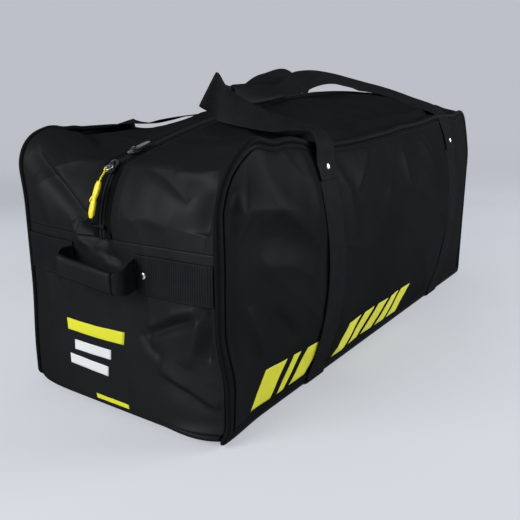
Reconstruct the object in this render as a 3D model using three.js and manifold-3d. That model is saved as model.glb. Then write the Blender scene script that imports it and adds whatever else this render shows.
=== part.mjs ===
// Hockey equipment bag: a long soft duffel of coated fabric. One long zip with two sliders runs over the
// arched top and down both ends. Two carry handles are sewn to belts that pass under the bag, and each end
// has a grip handle on a band of webbing.
// Millimetres, +Z up. The origin is on the floor under the middle of the bag. +X runs along the bag
// towards the far end, and -Y points to the front.

import * as THREE from 'three';
import { mergeVertices } from 'three/addons/utils/BufferGeometryUtils.js';
import Module from 'manifold-3d';

const manifold = await Module();
manifold.setup();

// Body of the bag
const bagLength = 900; // between the end lines of the piping
const bagDepth = 350; // between the front and back piping
const bagHeight = 369; // top of the corners of the piping, at its centre line
const mouthDrop = 17; // from there to the piping along the mouth, where the top edge sags
const mouthInset = 120; // from the ends of the piping to the ends of the mouth
const crestRise = 43.5; // ridge of the closed top at its highest, over the corners of the piping
const crestX = 144.5; // where that is, towards the far end
const ridgeRadius = 2087;
const topCornerRadius = 55;
const bottomCornerRadius = 8;
const sideSwell = 38; // how far the long panels belly out
const endSwell = 11.5; // how far the ends stand out at the zip
const footLead = 1.5; // straight part of the bottom panel between its end seams and its bends
const endFootSwell = 18; // how far they stand out at the foot
const endArcRadius = 131; // curve of the zip as it turns down an end
const nearArcOver = 19.77; // how far that curve would pass over the ridge, at the near end
const farArcOver = 8.8;
const shoulderRadius = 20; // where that curve meets the ridge
const seamDrop = 5.5; // from the near curve's centre to the sewn seam across each end
const fabric = 2.5; // lined and coated fabric
const pipingRadius = 4;
const seamGap = 0.3; // between pieces that touch

// Webbing
const webbingWidth = 50;
const webbingThickness = 1.8;
const webbingLift = 0.45; // from the fabric to the webbing sewn on it
const beltPipingGap = 0.7;
const nearBeltReach = 225; // from the middle of the bag to the middle of a belt
const farBeltReach = 268;
const strapTopDrop = 20; // from the piping along the mouth to where the loose handles begin
const hingeGap = 0.4; // from a handle's swing line to the end of its webbing
const hingeLift = 0.6; // from the sewn webbing's face to the loose webbing's
const handleRise = 120; // scale of the carry handles over their sewn ends
const foldRadius = 2.6; // of the sharp fold in the front handle
const gripWebbing = 30; // webbing drawn in under a grip
const gripLength = 126; // sleeve on the front handle
const gripWidth = 34;
const gripThickness = 12;
const boreClearance = 0.8; // round the webbing inside a grip
const rivetRadius = 4.5;
const rivetHeight = 1.6;
const rivetInset = 12; // from the end of the webbing to the rivet's middle

// Zip
const zipGap = 1.2; // between the two coils
const coilWidth = 4.6;
const coilThickness = 3;
const coilRise = 1.4; // of the coil above the fabric
const tapeWidth = 10.5;
const tapeThickness = 1.2;
const tapeDrop = 0.2; // of the tape below the fabric's face
const zipEndRise = 12; // from the end's seam to the lower end of the stops
const stopHeight = 5;
const endTabLeft = 44; // sewn fabric tab over the lower end of the zip, measured from the zip
const endTabRight = 8;
const endTabRise = 16;
const endTabThickness = 1.2;

// Zip sliders and pulls
const sliderLength = 20;
const sliderWidth = 15;
const sliderTailWidth = 9;
const plateThickness = 2;
const sliderClearance = 0.5;
const bendClearance = 2.8; // extra room under the slider that rests on the bend
const postThickness = 0.6;
const postLength = 8;
const bendOverhang = 10; // of the end slider past the start of the bend
const ridgeSliderGap = 18; // from the bend to the ridge slider
const bailLength = 14;
const bailHeight = 5;
const bailWall = 1.6;
const bailWidth = 3;
const pinHeight = 1.5; // of the pull's pivot above the slider's plate
const tabLength = 30;
const tabWidth = 9;
const tabThickness = 1.6;
const tabSlotWidth = 5;
const tabSlotLength = 7.6;
const ringRadius = 5.5;
const ringWire = 0.8;
const eyeRadius = 2.4;
const eyeWire = 0.9;
const cordEndGap = 0.8; // from the cord to the moulded grip
const cordLength = 14;
const cordRadius = 1.2;
const pullLength = 47;
const pullWidth = 10;
const pullNeckWidth = 7;
const pullThickness = 5;
const ringLean = 65; // degrees out from straight down
const cordLean = 42;
const pullLean = 17;
const pullSway = 6; // degrees towards the back

// End handles
const bandDrop = 38; // from the end's seam to the middle of the webbing band across each end
const endHandleSpan = 116; // between the sewn bands' inner ends
const endHandleReach = 45;
const endRootGap = 1.7; // from a sewn band's end to the loose handle
const endRootWidth = 2; // the loose webbing starts as a point and fans out
const endGripLength = 94;
const endGripWidth = 36;
const endGripThickness = 11;

// Steps of the round and swept shapes
const arcSteps = 7;
const shoulderSteps = 4;
const ridgeSteps = 12;
const panelColumns = 14;
const panelRows = 7;
const acrossSteps = 5;
const bandColumns = 3;
const pipingSides = 6;
const discSides = 12;
const wireSides = 6;
const ringSides = 16;
const sleeveSides = 8;
const stationGap = 14; // between the steps of loose webbing
const overrun = 0.5; // how far joined pieces run into each other

// Worked out sizes
const halfLength = bagLength / 2;
const halfDepth = bagDepth / 2;
const halfMouth = halfLength - mouthInset;
const beltMiddle = (farBeltReach - nearBeltReach) / 2;
const beltHalf = (farBeltReach + nearBeltReach) / 2;
const pipingFoot = webbingThickness + beltPipingGap + pipingRadius; // centre of the lowest piping
const seamInset = pipingRadius + seamGap;
const seamY = halfDepth - seamInset;
const coilInner = zipGap / 2;
const coilOuter = coilInner + coilWidth;
const tapeInner = coilOuter + seamGap;
const tapeOuter = tapeInner + tapeWidth;
const zipHalfWidth = tapeOuter + seamGap; // where the fabric starts
const mouthHeight = bagHeight - mouthDrop;
const crestHeight = bagHeight + crestRise;
const ridgeCentre = crestHeight - ridgeRadius;
const endArcX = -(halfLength + endSwell - endArcRadius);
const arcHeight = (ridgeX, over) => (
  ridgeCentre + Math.sqrt(ridgeRadius * ridgeRadius - (endArcX - ridgeX) * (endArcX - ridgeX)) - endArcRadius + over
);
const nearArcHeight = arcHeight(crestX, nearArcOver);
const farArcHeight = arcHeight(-crestX, farArcOver);
const seamHeight = nearArcHeight - seamDrop;
const faceLift = fabric / 2; // outer face of the fabric above the seam's middle
const coilDrop = coilThickness - coilRise;
const strapTopHeight = mouthHeight - strapTopDrop;
const zipEndHeight = seamHeight + zipEndRise;
const endTabTop = seamHeight + endTabRise;
const bandHeight = seamHeight - bandDrop;
const plateTop = coilRise + sliderClearance + plateThickness; // of a slider, over the fabric

const fabricBlack = { color: 0x232527, roughness: 0.55, metalness: 0 };
const fabricDark = { color: 0x1d1f21, roughness: 0.6, metalness: 0 };
const webbingBlack = { color: 0x1b1c1e, roughness: 0.8, metalness: 0 };
const gripBlack = { color: 0x202224, roughness: 0.6, metalness: 0 };
const pipingBlack = { color: 0x17181a, roughness: 0.45, metalness: 0 };
const tapeBlack = { color: 0x141517, roughness: 0.85, metalness: 0 };
const coilBlack = { color: 0x2a2c30, roughness: 0.4, metalness: 0 };
const blackMetal = { color: 0x1a1a1c, roughness: 0.35, metalness: 0.8 };
const silverMetal = { color: 0xc9ccd0, roughness: 0.25, metalness: 1 };
const yellowRubber = { color: 0xe8dc1a, roughness: 0.5, metalness: 0 };

const group = new THREE.Group();

function addPiece(name, geometry, look) {
  const mesh = new THREE.Mesh(geometry, new THREE.MeshStandardMaterial(look));
  mesh.name = name;
  group.add(mesh);
  return mesh;
}

// Steps from one value to another
function spread(from, to, steps) {
  return Array.from({ length: steps + 1 }, (_, step) => from + ((to - from) * step) / steps);
}

// Closed bodies from grids of points

function signedVolume(positions, faces) {
  let sum = 0;
  const corner = (index) => new THREE.Vector3().fromArray(positions, faces[index] * 3);
  for (let index = 0; index < faces.length; index += 3) {
    sum += corner(index).dot(corner(index + 1).cross(corner(index + 2)));
  }
  return sum;
}

function closedGeometry(positions, faces) {
  if (signedVolume(positions, faces) < 0) {
    faces.reverse();
  }
  const geometry = new THREE.BufferGeometry();
  geometry.setAttribute('position', new THREE.Float32BufferAttribute(positions, 3));
  geometry.setIndex(faces);
  geometry.computeVertexNormals();
  return geometry;
}

// A sheet between an outer and an inner face, given as two grids of points of one size. Where it wraps,
// its last column meets its first, so the sheet is a sleeve.
function slab(outer, inner, wraps = false) {
  const rows = outer.length;
  const columns = outer[0].length;
  const positions = [outer, inner].flat(2).flatMap((point) => point.toArray());
  const at = (side, row, column) => (side * rows + row) * columns + (column % columns);
  const faces = [];
  const quad = (a, b, c, d) => faces.push(a, b, c, a, c, d);
  const lastRow = rows - 1;
  const lastColumn = wraps ? columns : columns - 1;
  for (let row = 0; row < lastRow; row++) {
    for (let column = 0; column < lastColumn; column++) {
      quad(at(0, row, column), at(0, row, column + 1), at(0, row + 1, column + 1), at(0, row + 1, column));
      quad(at(1, row, column), at(1, row + 1, column), at(1, row + 1, column + 1), at(1, row, column + 1));
    }
    if (!wraps) {
      quad(at(0, row, 0), at(0, row + 1, 0), at(1, row + 1, 0), at(1, row, 0));
      quad(at(0, row, lastColumn), at(1, row, lastColumn), at(1, row + 1, lastColumn), at(0, row + 1, lastColumn));
    }
  }
  for (let column = 0; column < lastColumn; column++) {
    quad(at(0, 0, column), at(1, 0, column), at(1, 0, column + 1), at(0, 0, column + 1));
    quad(at(0, lastRow, column), at(0, lastRow, column + 1), at(1, lastRow, column + 1), at(1, lastRow, column));
  }
  return closedGeometry(positions, faces);
}

// A tube round a closed flat path at one depth
function closedTube(path, y, radius) {
  const count = path.length;
  const positions = [];
  const faces = [];
  path.forEach(([x, z], index) => {
    const [beforeX, beforeZ] = path[(index + count - 1) % count];
    const [afterX, afterZ] = path[(index + 1) % count];
    const length = Math.hypot(afterX - beforeX, afterZ - beforeZ);
    const normalX = -(afterZ - beforeZ) / length;
    const normalZ = (afterX - beforeX) / length;
    for (let side = 0; side < pipingSides; side++) {
      const angle = (2 * Math.PI * side) / pipingSides;
      const out = radius * Math.cos(angle);
      positions.push(x + out * normalX, y + radius * Math.sin(angle), z + out * normalZ);
      const nextSide = (side + 1) % pipingSides;
      const here = index * pipingSides;
      const there = ((index + 1) % count) * pipingSides;
      faces.push(here + side, there + side, there + nextSide, here + side, there + nextSide, here + nextSide);
    }
  });
  return closedGeometry(positions, faces);
}

// Several closed geometries joined into one body
function joined(geometries) {
  const solids = geometries.map((geometry) => {
    const bare = geometry.clone();
    bare.deleteAttribute('normal');
    bare.deleteAttribute('uv');
    const merged = mergeVertices(bare);
    return new manifold.Manifold(new manifold.Mesh({
      numProp: 3, vertProperties: merged.attributes.position.array, triVerts: new Uint32Array(merged.index.array),
    }));
  });
  const mesh = solids.reduce((sum, solid) => sum.add(solid)).getMesh();
  return closedGeometry(Array.from(mesh.vertProperties), Array.from(mesh.triVerts));
}

// Profiles of the bag, as paths of [x, z] that run clockwise seen from the front

function ellipsePath(centreX, centreZ, radiusX, radiusZ, from, to, steps = arcSteps) {
  return spread(from, to, steps).map((angle) => [
    centreX + radiusX * Math.cos(angle), centreZ + radiusZ * Math.sin(angle),
  ]);
}

// A path read by its share of length, or by its share of steps, with its outward normal
function along(path, bySteps = false) {
  const lengths = [0];
  for (let index = 1; index < path.length; index++) {
    const [x, z] = path[index];
    const stepLength = bySteps ? 1 : Math.hypot(x - path[index - 1][0], z - path[index - 1][1]);
    lengths.push(lengths[index - 1] + stepLength);
  }
  const total = lengths[lengths.length - 1];
  const pointAt = (share) => {
    const target = Math.min(Math.max(share, 0), 1) * total;
    let index = 1;
    while (index < path.length - 1 && lengths[index] < target) {
      index++;
    }
    const part = (target - lengths[index - 1]) / (lengths[index] - lengths[index - 1]);
    return path[index].map((value, axis) => path[index - 1][axis] + (value - path[index - 1][axis]) * part);
  };
  const sampleShare = 0.01;
  const normalAt = (share) => {
    const [beforeX, beforeZ] = pointAt(share - sampleShare);
    const [afterX, afterZ] = pointAt(share + sampleShare);
    const length = Math.hypot(afterX - beforeX, afterZ - beforeZ);
    return [-(afterZ - beforeZ) / length, (afterX - beforeX) / length];
  };
  return { pointAt, normalAt, total, stops: lengths.map((length) => length / total) };
}

// The corners of a path between two shares of it, with the two shares themselves
const leastStepShare = 0.005;

function stopsBetween(path, from, to) {
  return [from, ...path.stops.filter((stop) => stop > from + leastStepShare && stop < to - leastStepShare), to];
}

// Height of the top piping: it drops from the corners to the mouth in a smooth step
const sagRun = halfLength - topCornerRadius - halfMouth;

function topStep(x) {
  return Math.min(Math.max((Math.abs(x) - halfMouth) / sagRun, 0), 1);
}

function topLine(x) {
  const step = topStep(x);
  return mouthHeight + (bagHeight - mouthHeight) * step * step * (3 - 2 * step);
}

function topSlope(x) {
  const step = topStep(x);
  return (bagHeight - mouthHeight) * 6 * step * (1 - step) / sagRun;
}

function sagLine(lift) {
  const start = -halfLength + topCornerRadius;
  return spread(start, start + sagRun, arcSteps).map((x) => [x, topLine(x) + lift]);
}

// Where two circles meet, on the left of the line from the first centre to the second
function circlesMeet(first, firstRadius, second, secondRadius) {
  const apart = Math.hypot(second[0] - first[0], second[1] - first[1]);
  const reach = (apart * apart + firstRadius * firstRadius - secondRadius * secondRadius) / (2 * apart);
  const height = Math.sqrt(firstRadius * firstRadius - reach * reach);
  const unitX = (second[0] - first[0]) / apart;
  const unitZ = (second[1] - first[1]) / apart;
  return [first[0] + unitX * reach + unitZ * height, first[1] + unitZ * reach - unitX * height];
}

// The zip's centre line at an end on the left: from the seam up the end, over the shoulder, to the mouth.
// Its angles are measured from straight up towards the end.
function zipEnd(ridgeX, arcZ) {
  const up = Math.PI / 2;
  const arc = [endArcX, arcZ];
  const ridge = [ridgeX, ridgeCentre];
  const shoulder = circlesMeet(arc, endArcRadius - shoulderRadius, ridge, ridgeRadius - shoulderRadius);
  const arcEnd = Math.atan2(arc[0] - shoulder[0], shoulder[1] - arc[1]);
  const ridgeStart = Math.atan2(ridge[0] - shoulder[0], shoulder[1] - ridge[1]);
  const mouthEnd = Math.asin((halfMouth + ridgeX) / ridgeRadius);
  const path = [
    [-(halfLength + endSwell), seamHeight],
    ...ellipsePath(...arc, endArcRadius, endArcRadius, Math.PI, up + arcEnd),
    ...ellipsePath(
      ...shoulder, shoulderRadius, shoulderRadius, up + arcEnd, up + ridgeStart, shoulderSteps
    ).slice(1),
    ...ellipsePath(...ridge, ridgeRadius, ridgeRadius, up + ridgeStart, up + mouthEnd, shoulderSteps).slice(1),
  ];
  return { arcEnd, ridgeStart, mouthEnd, line: along(path) };
}

const nearZip = zipEnd(crestX, nearArcHeight);
const farZip = zipEnd(-crestX, farArcHeight);
const cornerX = halfLength - bottomCornerRadius;
const footHeight = pipingFoot + bottomCornerRadius; // where the bottom panel meets the end panels
const bottomFace = webbingThickness + seamGap;
const topEdge = along([
  [-halfLength - faceLift, seamHeight],
  ...ellipsePath(
    -halfLength + topCornerRadius, bagHeight - topCornerRadius, topCornerRadius + faceLift,
    topCornerRadius + faceLift, Math.PI, Math.PI / 2
  ),
  ...sagLine(faceLift).slice(1),
]);
const endEdge = along([[-halfLength - faceLift, footHeight], [-halfLength - faceLift, seamHeight]]);
const endCentre = along([
  [-halfLength - faceLift - endFootSwell, footHeight], [-halfLength - endSwell, seamHeight],
]);
const mouthEdge = along([[-halfMouth, mouthHeight + faceLift], [halfMouth, mouthHeight + faceLift]]);
const mouthCentre = along(spread(-nearZip.mouthEnd, farZip.mouthEnd, ridgeSteps).map((angle) => [
  crestX + ridgeRadius * Math.sin(angle), ridgeCentre + ridgeRadius * Math.cos(angle),
]));

function bottomPath(swell, base) {
  const reach = bottomCornerRadius + faceLift + swell;
  const bendHeight = footHeight - footLead;
  const drop = bendHeight - base;
  return [
    [cornerX + reach, footHeight],
    ...ellipsePath(cornerX, bendHeight, reach, drop, 0, -Math.PI / 2),
    ...ellipsePath(-cornerX, bendHeight, reach, drop, -Math.PI / 2, -Math.PI),
    [-cornerX - reach, footHeight],
  ];
}

const bottomEdge = along(bottomPath(0, pipingFoot - faceLift), true);
const bottomCentre = along(bottomPath(endFootSwell, bottomFace), true);

// How much of the centre profile shows at one depth: all of it at the zip, none at the piping
function crownShare(y, power) {
  const share = Math.max(Math.abs(y) - zipHalfWidth, 0) / (seamY - zipHalfWidth);
  return 1 - Math.pow(share, power);
}

const topPower = 1.6;
const bottomPower = 6;

// The ends fall away from the zip as the top does at their seam, and as the bottom does at their foot
const endPower = (share) => topPower + (bottomPower - topPower) * (1 - share) * (1 - share);

// A piece of the band that runs round the bag between the two pipings. Its rows follow shares of the edge
// and centre profiles, and its columns are depths.
function bandPatch({ edge, centre, shares, depths, lift = 0, thickness, power, mirror }) {
  const face = (height) => shares.map((share) => {
    const edgePoint = edge.pointAt(share);
    const centrePoint = centre.pointAt(share);
    const edgeNormal = edge.normalAt(share);
    const centreNormal = centre.normalAt(share);
    return depths.map((y) => {
      const crown = crownShare(y, typeof power === 'function' ? power(share) : power);
      const mix = (axis, from, to) => from[axis] + (to[axis] - from[axis]) * crown;
      const normalX = mix(0, edgeNormal, centreNormal);
      const normalZ = mix(1, edgeNormal, centreNormal);
      const size = Math.hypot(normalX, normalZ);
      const x = mix(0, edgePoint, centrePoint) + (normalX * height) / size;
      const z = mix(1, edgePoint, centrePoint) + (normalZ * height) / size;
      return new THREE.Vector3(mirror ? -x : x, y, z);
    });
  });
  return slab(face(lift), face(lift - thickness));
}

// Long panels

function sideFace(x, z) {
  const upShare = (z - pipingFoot) / (topLine(x) - pipingFoot);
  const alongShare = x / halfLength;
  const belly = Math.max(4 * upShare * (1 - upShare), 0) * (1 - Math.pow(alongShare, 4));
  return halfDepth + faceLift + sideSwell * belly;
}

function sidePanel(side) {
  const lowRadius = bottomCornerRadius - seamInset;
  const highRadius = topCornerRadius - seamInset;
  const low = pipingFoot + seamInset;
  const high = bagHeight - seamInset;
  const reach = halfLength - seamInset;
  const quarter = spread(0, Math.PI / 2, Math.ceil(arcSteps / 2));
  const rows = [
    ...quarter.slice(0, -1).map((angle) => [
      low + lowRadius * (1 - Math.cos(angle)), reach - lowRadius * (1 - Math.sin(angle)),
    ]),
    ...spread(low + lowRadius, high - highRadius, panelRows).map((height) => [height, reach]),
    ...quarter.slice(1).map((angle) => [
      high - highRadius * (1 - Math.sin(angle)), reach - highRadius * (1 - Math.cos(angle)),
    ]),
  ];
  const face = (lift) => rows.map(([height, rowReach]) => spread(-rowReach, rowReach, panelColumns).map((x) => {
    const top = topLine(x) - seamInset * Math.hypot(1, topSlope(x));
    const z = low + ((height - low) * (top - low)) / (high - low);
    return new THREE.Vector3(x, side * (sideFace(x, z) - lift), z);
  }));
  return slab(face(0), face(fabric));
}

function pipingPath() {
  const half = Math.PI / 2;
  const left = sagLine(0);
  const right = left.map(([x, z]) => [-x, z]).reverse();
  const topZ = bagHeight - topCornerRadius;
  const topX = halfLength - topCornerRadius;
  return [
    ...ellipsePath(-topX, topZ, topCornerRadius, topCornerRadius, Math.PI, half),
    ...left.slice(1),
    ...right.slice(0, -1),
    ...ellipsePath(topX, topZ, topCornerRadius, topCornerRadius, half, 0),
    ...ellipsePath(cornerX, footHeight, bottomCornerRadius, bottomCornerRadius, 0, -half),
    ...ellipsePath(-cornerX, footHeight, bottomCornerRadius, bottomCornerRadius, -half, -Math.PI),
  ];
}

for (const [name, side] of [['front', -1], ['back', 1]]) {
  addPiece(`${name}_panel`, sidePanel(side), fabricBlack);
  addPiece(`${name}_piping`, closedTube(pipingPath(), side * halfDepth, pipingRadius), pipingBlack);
}

// Bottom, ends and the halves of the top

const fullDepthShares = [-1, -0.9, -0.7, -0.4, -0.1, 0.1, 0.4, 0.7, 0.9, 1];
const fullDepths = fullDepthShares.map((share) => share * seamY);
const bottomTrim = seamGap / 2 / footLead / bottomEdge.total;
const bottomShares = spread(0, 1, bottomEdge.total);

addPiece('bottom_panel', bandPatch({
  edge: bottomEdge, centre: bottomCentre, shares: [bottomTrim, ...bottomShares.slice(1, -1), 1 - bottomTrim],
  depths: fullDepths, thickness: fabric, power: bottomPower,
}), fabricDark);

// The two halves beside the zip, in front of it and behind it
function halves(inner, outer, steps = 1) {
  return [['front', spread(-outer, -inner, steps)], ['back', spread(inner, outer, steps)]];
}

const tapeSlab = { lift: -tapeDrop, thickness: tapeThickness };
const coilSlab = { lift: coilRise, thickness: coilThickness };
const endTrim = seamGap / 2 / endEdge.total;
const heightShare = (z) => (z - footHeight) / endEdge.total; // of the end below the seam
const sewnLift = webbingLift + webbingThickness;

for (const [endName, zip, mirror] of [['near', nearZip, false], ['far', farZip, true]]) {
  const low = { edge: endEdge, centre: endCentre, power: endPower, mirror };
  addPiece(`${endName}_end_panel`, bandPatch({
    ...low, shares: spread(endTrim, 1 - endTrim, panelRows), depths: fullDepths, thickness: fabric,
  }), fabricBlack);
  const bandShares = [
    heightShare(bandHeight - webbingWidth / 2), heightShare(bandHeight), heightShare(bandHeight + webbingWidth / 2),
  ];
  for (const [sideName, depths] of halves(endHandleSpan / 2, seamY, bandColumns)) {
    addPiece(`${endName}_end_band_${sideName}`, bandPatch({
      ...low, shares: bandShares, depths, lift: sewnLift, thickness: webbingThickness,
    }), webbingBlack);
  }
  const trim = seamGap / 2 / zip.line.total;
  const seamShare = (z) => (z - seamHeight) / zip.line.total; // of the zip's line just above the seam
  const high = {
    edge: topEdge, centre: zip.line, power: topPower, mirror, shares: stopsBetween(zip.line, trim, 1 - trim),
  };
  for (const [sideName, depths] of halves(zipHalfWidth, seamY, acrossSteps)) {
    addPiece(`${endName}_end_top_${sideName}`, bandPatch({ ...high, depths, thickness: fabric }), fabricBlack);
  }
  for (const [sideName, depths] of halves(tapeInner, tapeOuter)) {
    addPiece(`${endName}_zip_tape_${sideName}`, bandPatch({ ...high, ...tapeSlab, depths }), tapeBlack);
  }
  const coilShares = stopsBetween(zip.line, seamShare(zipEndHeight + stopHeight + seamGap), 1 - trim);
  for (const [sideName, depths] of halves(coilInner, coilOuter)) {
    addPiece(`${endName}_zip_coil_${sideName}`, bandPatch({
      ...high, ...coilSlab, depths, shares: coilShares,
    }), coilBlack);
  }
  addPiece(`${endName}_zip_stop`, bandPatch({
    ...high, ...coilSlab, depths: [-coilOuter, coilOuter],
    shares: [seamShare(zipEndHeight), seamShare(zipEndHeight + stopHeight)],
  }), blackMetal);
  addPiece(`${endName}_zip_end_tab`, bandPatch({
    ...high, depths: spread(-endTabRight, endTabLeft, acrossSteps), shares: [trim, seamShare(endTabTop)],
    lift: coilRise + seamGap + endTabThickness, thickness: endTabThickness,
  }), fabricDark);
}

const mouthTrim = seamGap / 2 / (2 * halfMouth);
const mouthSpan = {
  edge: mouthEdge, centre: mouthCentre, power: topPower, shares: spread(mouthTrim, 1 - mouthTrim, ridgeSteps),
};
for (const [sideName, depths] of halves(zipHalfWidth, seamY, acrossSteps)) {
  addPiece(`${sideName}_flap`, bandPatch({ ...mouthSpan, depths, thickness: fabric }), fabricBlack);
}
for (const [sideName, depths] of halves(tapeInner, tapeOuter)) {
  addPiece(`${sideName}_flap_zip_tape`, bandPatch({ ...mouthSpan, ...tapeSlab, depths }), tapeBlack);
}
for (const [sideName, depths] of halves(coilInner, coilOuter)) {
  addPiece(`${sideName}_flap_zip_coil`, bandPatch({ ...mouthSpan, ...coilSlab, depths }), coilBlack);
}

// Belts: webbing sewn to both long panels and passed under the bag

// Inner face of the belt at one side: down the panel, round the piping and in under the bag
function beltSidePath(x) {
  const bend = pipingRadius + beltPipingGap;
  const down = spread(strapTopHeight, pipingFoot, 2 * panelRows).slice(0, -1);
  return [
    ...down.map((z) => [Math.max(sideFace(x, z) + webbingLift, halfDepth + bend), z]),
    ...ellipsePath(halfDepth, pipingFoot, bend, bend, 0, -Math.PI / 2),
  ];
}

function belt(centreX) {
  const sections = spread(centreX - webbingWidth / 2, centreX + webbingWidth / 2, 2).map((x) => {
    const side = beltSidePath(x);
    const path = [...side.map(([y, z]) => [-y, z]), ...side.reverse()];
    return path.map(([y, z], index) => {
      const [beforeY, beforeZ] = path[Math.max(index - 1, 0)];
      const [afterY, afterZ] = path[Math.min(index + 1, path.length - 1)];
      const length = Math.hypot(afterY - beforeY, afterZ - beforeZ);
      const inner = new THREE.Vector3(x, y, z);
      const out = new THREE.Vector3(0, (afterZ - beforeZ) / length, -(afterY - beforeY) / length);
      return [inner.clone().addScaledVector(out, webbingThickness), inner];
    });
  });
  const face = (side) => sections[0].map((_, row) => sections.map((section) => section[row][side]));
  return slab(face(0), face(1));
}

// A round headed rivet that stands on a surface through a place, with the surface's two directions there
const rivetShoulderShare = 0.8;
const rivetEdgeShare = 0.35;

function addRivet(name, place, firstDirection, secondDirection) {
  const profile = [
    new THREE.Vector2(0, 0), new THREE.Vector2(rivetRadius, 0),
    new THREE.Vector2(rivetRadius, rivetHeight * rivetEdgeShare),
    new THREE.Vector2(rivetRadius * Math.SQRT1_2, rivetHeight * rivetShoulderShare), new THREE.Vector2(0, rivetHeight),
  ];
  const rivet = addPiece(name, new THREE.LatheGeometry(profile, discSides), silverMetal);
  const outward = firstDirection.clone().cross(secondDirection).normalize();
  rivet.position.copy(place).addScaledVector(outward, seamGap);
  rivet.quaternion.setFromUnitVectors(new THREE.Vector3(0, 1, 0), outward);
}

const strapFace = (x, z) => sideFace(x, z) + sewnLift;
for (const [endName, x] of [['near', -nearBeltReach], ['far', farBeltReach]]) {
  addPiece(`${endName}_belt`, belt(x), webbingBlack);
  for (const [sideName, side] of [['front', -1], ['back', 1]]) {
    const z = strapTopHeight - rivetInset;
    const rise = strapFace(x, z + rivetRadius) - strapFace(x, z - rivetRadius);
    const upward = new THREE.Vector3(0, side * rise, 2 * rivetRadius);
    const place = new THREE.Vector3(x, side * strapFace(x, z), z);
    addRivet(`${endName}_${sideName}_strap_rivet`, place, upward, new THREE.Vector3(side, 0, 0));
  }
}

// Loose webbing: a smooth ribbon through rows of centre, width direction and width

// A station at every row and at even steps between the rows, each with the ribbon's thickness direction
function ribbonStations(rows) {
  const curve = new THREE.CatmullRomCurve3(rows.map((row) => row.centre), false, 'centripetal');
  const last = rows.length - 1;
  const stations = [];
  rows.forEach((row, index) => {
    if (index === last) {
      stations.push({ ...row, row: index });
      return;
    }
    const next = rows[index + 1];
    const steps = Math.max(1, Math.round(row.centre.distanceTo(next.centre) / stationGap));
    for (let step = 0; step < steps; step++) {
      const blend = step / steps;
      stations.push({
        row: step === 0 ? index : null,
        centre: curve.getPoint((index + blend) / last),
        across: row.across.clone().lerp(next.across, blend).normalize(),
        width: row.width + (next.width - row.width) * blend,
      });
    }
  });
  return stations.map((station, index) => {
    const before = stations[Math.max(index - 1, 0)].centre;
    const after = stations[Math.min(index + 1, stations.length - 1)].centre;
    return { ...station, normal: after.clone().sub(before).cross(station.across).normalize() };
  });
}

function stationPoint({ centre, across, normal }, sideways, upwards) {
  return centre.clone().addScaledVector(across, sideways).addScaledVector(normal, upwards);
}

function ribbon(stations) {
  const face = (height) => stations.map((station) => [
    stationPoint(station, -station.width / 2, height), stationPoint(station, station.width / 2, height),
  ]);
  return slab(face(webbingThickness / 2), face(-webbingThickness / 2));
}

// A grip: a rounded sleeve round the ribbon between two of its rows, with a flat bore
const sleevePower = 0.7;

function sleeve(stations, fromRow, toRow, width, thickness) {
  const start = stations.findIndex((station) => station.row === fromRow);
  const end = stations.findIndex((station) => station.row === toRow);
  const angles = spread(0, 2 * Math.PI, sleeveSides).slice(0, -1);
  const rounded = (value) => Math.sign(value) * Math.pow(Math.abs(value), sleevePower);
  const inside = stations.slice(start, end + 1);
  const outer = inside.map((station) => angles.map((angle) => stationPoint(
    station, (rounded(Math.cos(angle)) * width) / 2, (rounded(Math.sin(angle)) * thickness) / 2
  )));
  const boreHeight = webbingThickness / 2 + boreClearance;
  const inner = inside.map((station) => angles.map((angle) => {
    const square = Math.max(Math.abs(Math.cos(angle)), Math.abs(Math.sin(angle)));
    const boreWidth = station.width / 2 + boreClearance;
    return stationPoint(station, (Math.cos(angle) / square) * boreWidth, (Math.sin(angle) / square) * boreHeight);
  }));
  return slab(outer, inner, true);
}

// Carry handles. A row of shares gives the webbing's middle by half the distance between the belts, by half
// the bag's depth and by the handles' rise over their sewn ends, then the way the webbing's width lies, and
// its width.
const frontRisingShares = [
  [-1.005, -1.06, 0.173, 1, 0.05, 0, 1],
  [-1, -0.995, 0.286, 0.97, 0.2, 0, 1],
  [-1, -0.89, 0.326, 0.9, 0.42, 0.1, 1],
  [-1.02, -0.777, 0.349, 0.82, 0.5, 0.25, 1],
  [-1.073, -0.674, 0.366, 0.78, 0.46, 0.42, 1],
  [-1.109, -0.503, 0.433, 0.72, 0.35, 0.6, 1],
  [-1.117, -0.343, 0.497, 0.62, 0.2, 0.75, 1],
  [-1.138, -0.217, 0.578, 0.45, -0.05, 0.88, 1],
];
const creaseShares = [-1.15, -0.103, 0.729, 0.655, 0, 0.756, 1.19]; // the sharp fold
const frontReturnShares = [
  [-1.082, -0.092, 0.66, 0.4, 0.05, 0.9, 1],
  [-1.012, -0.1, 0.651, 0.2, 0.15, 0.95, 0.75],
];
const gripStartShares = [-0.939, -0.109, 0.648, 0.1, 0.2, 0.97];
const gripDirection = [0.999, 0, 0.04];
const gripEndAcross = [0, 0.87, 0.5];
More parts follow.
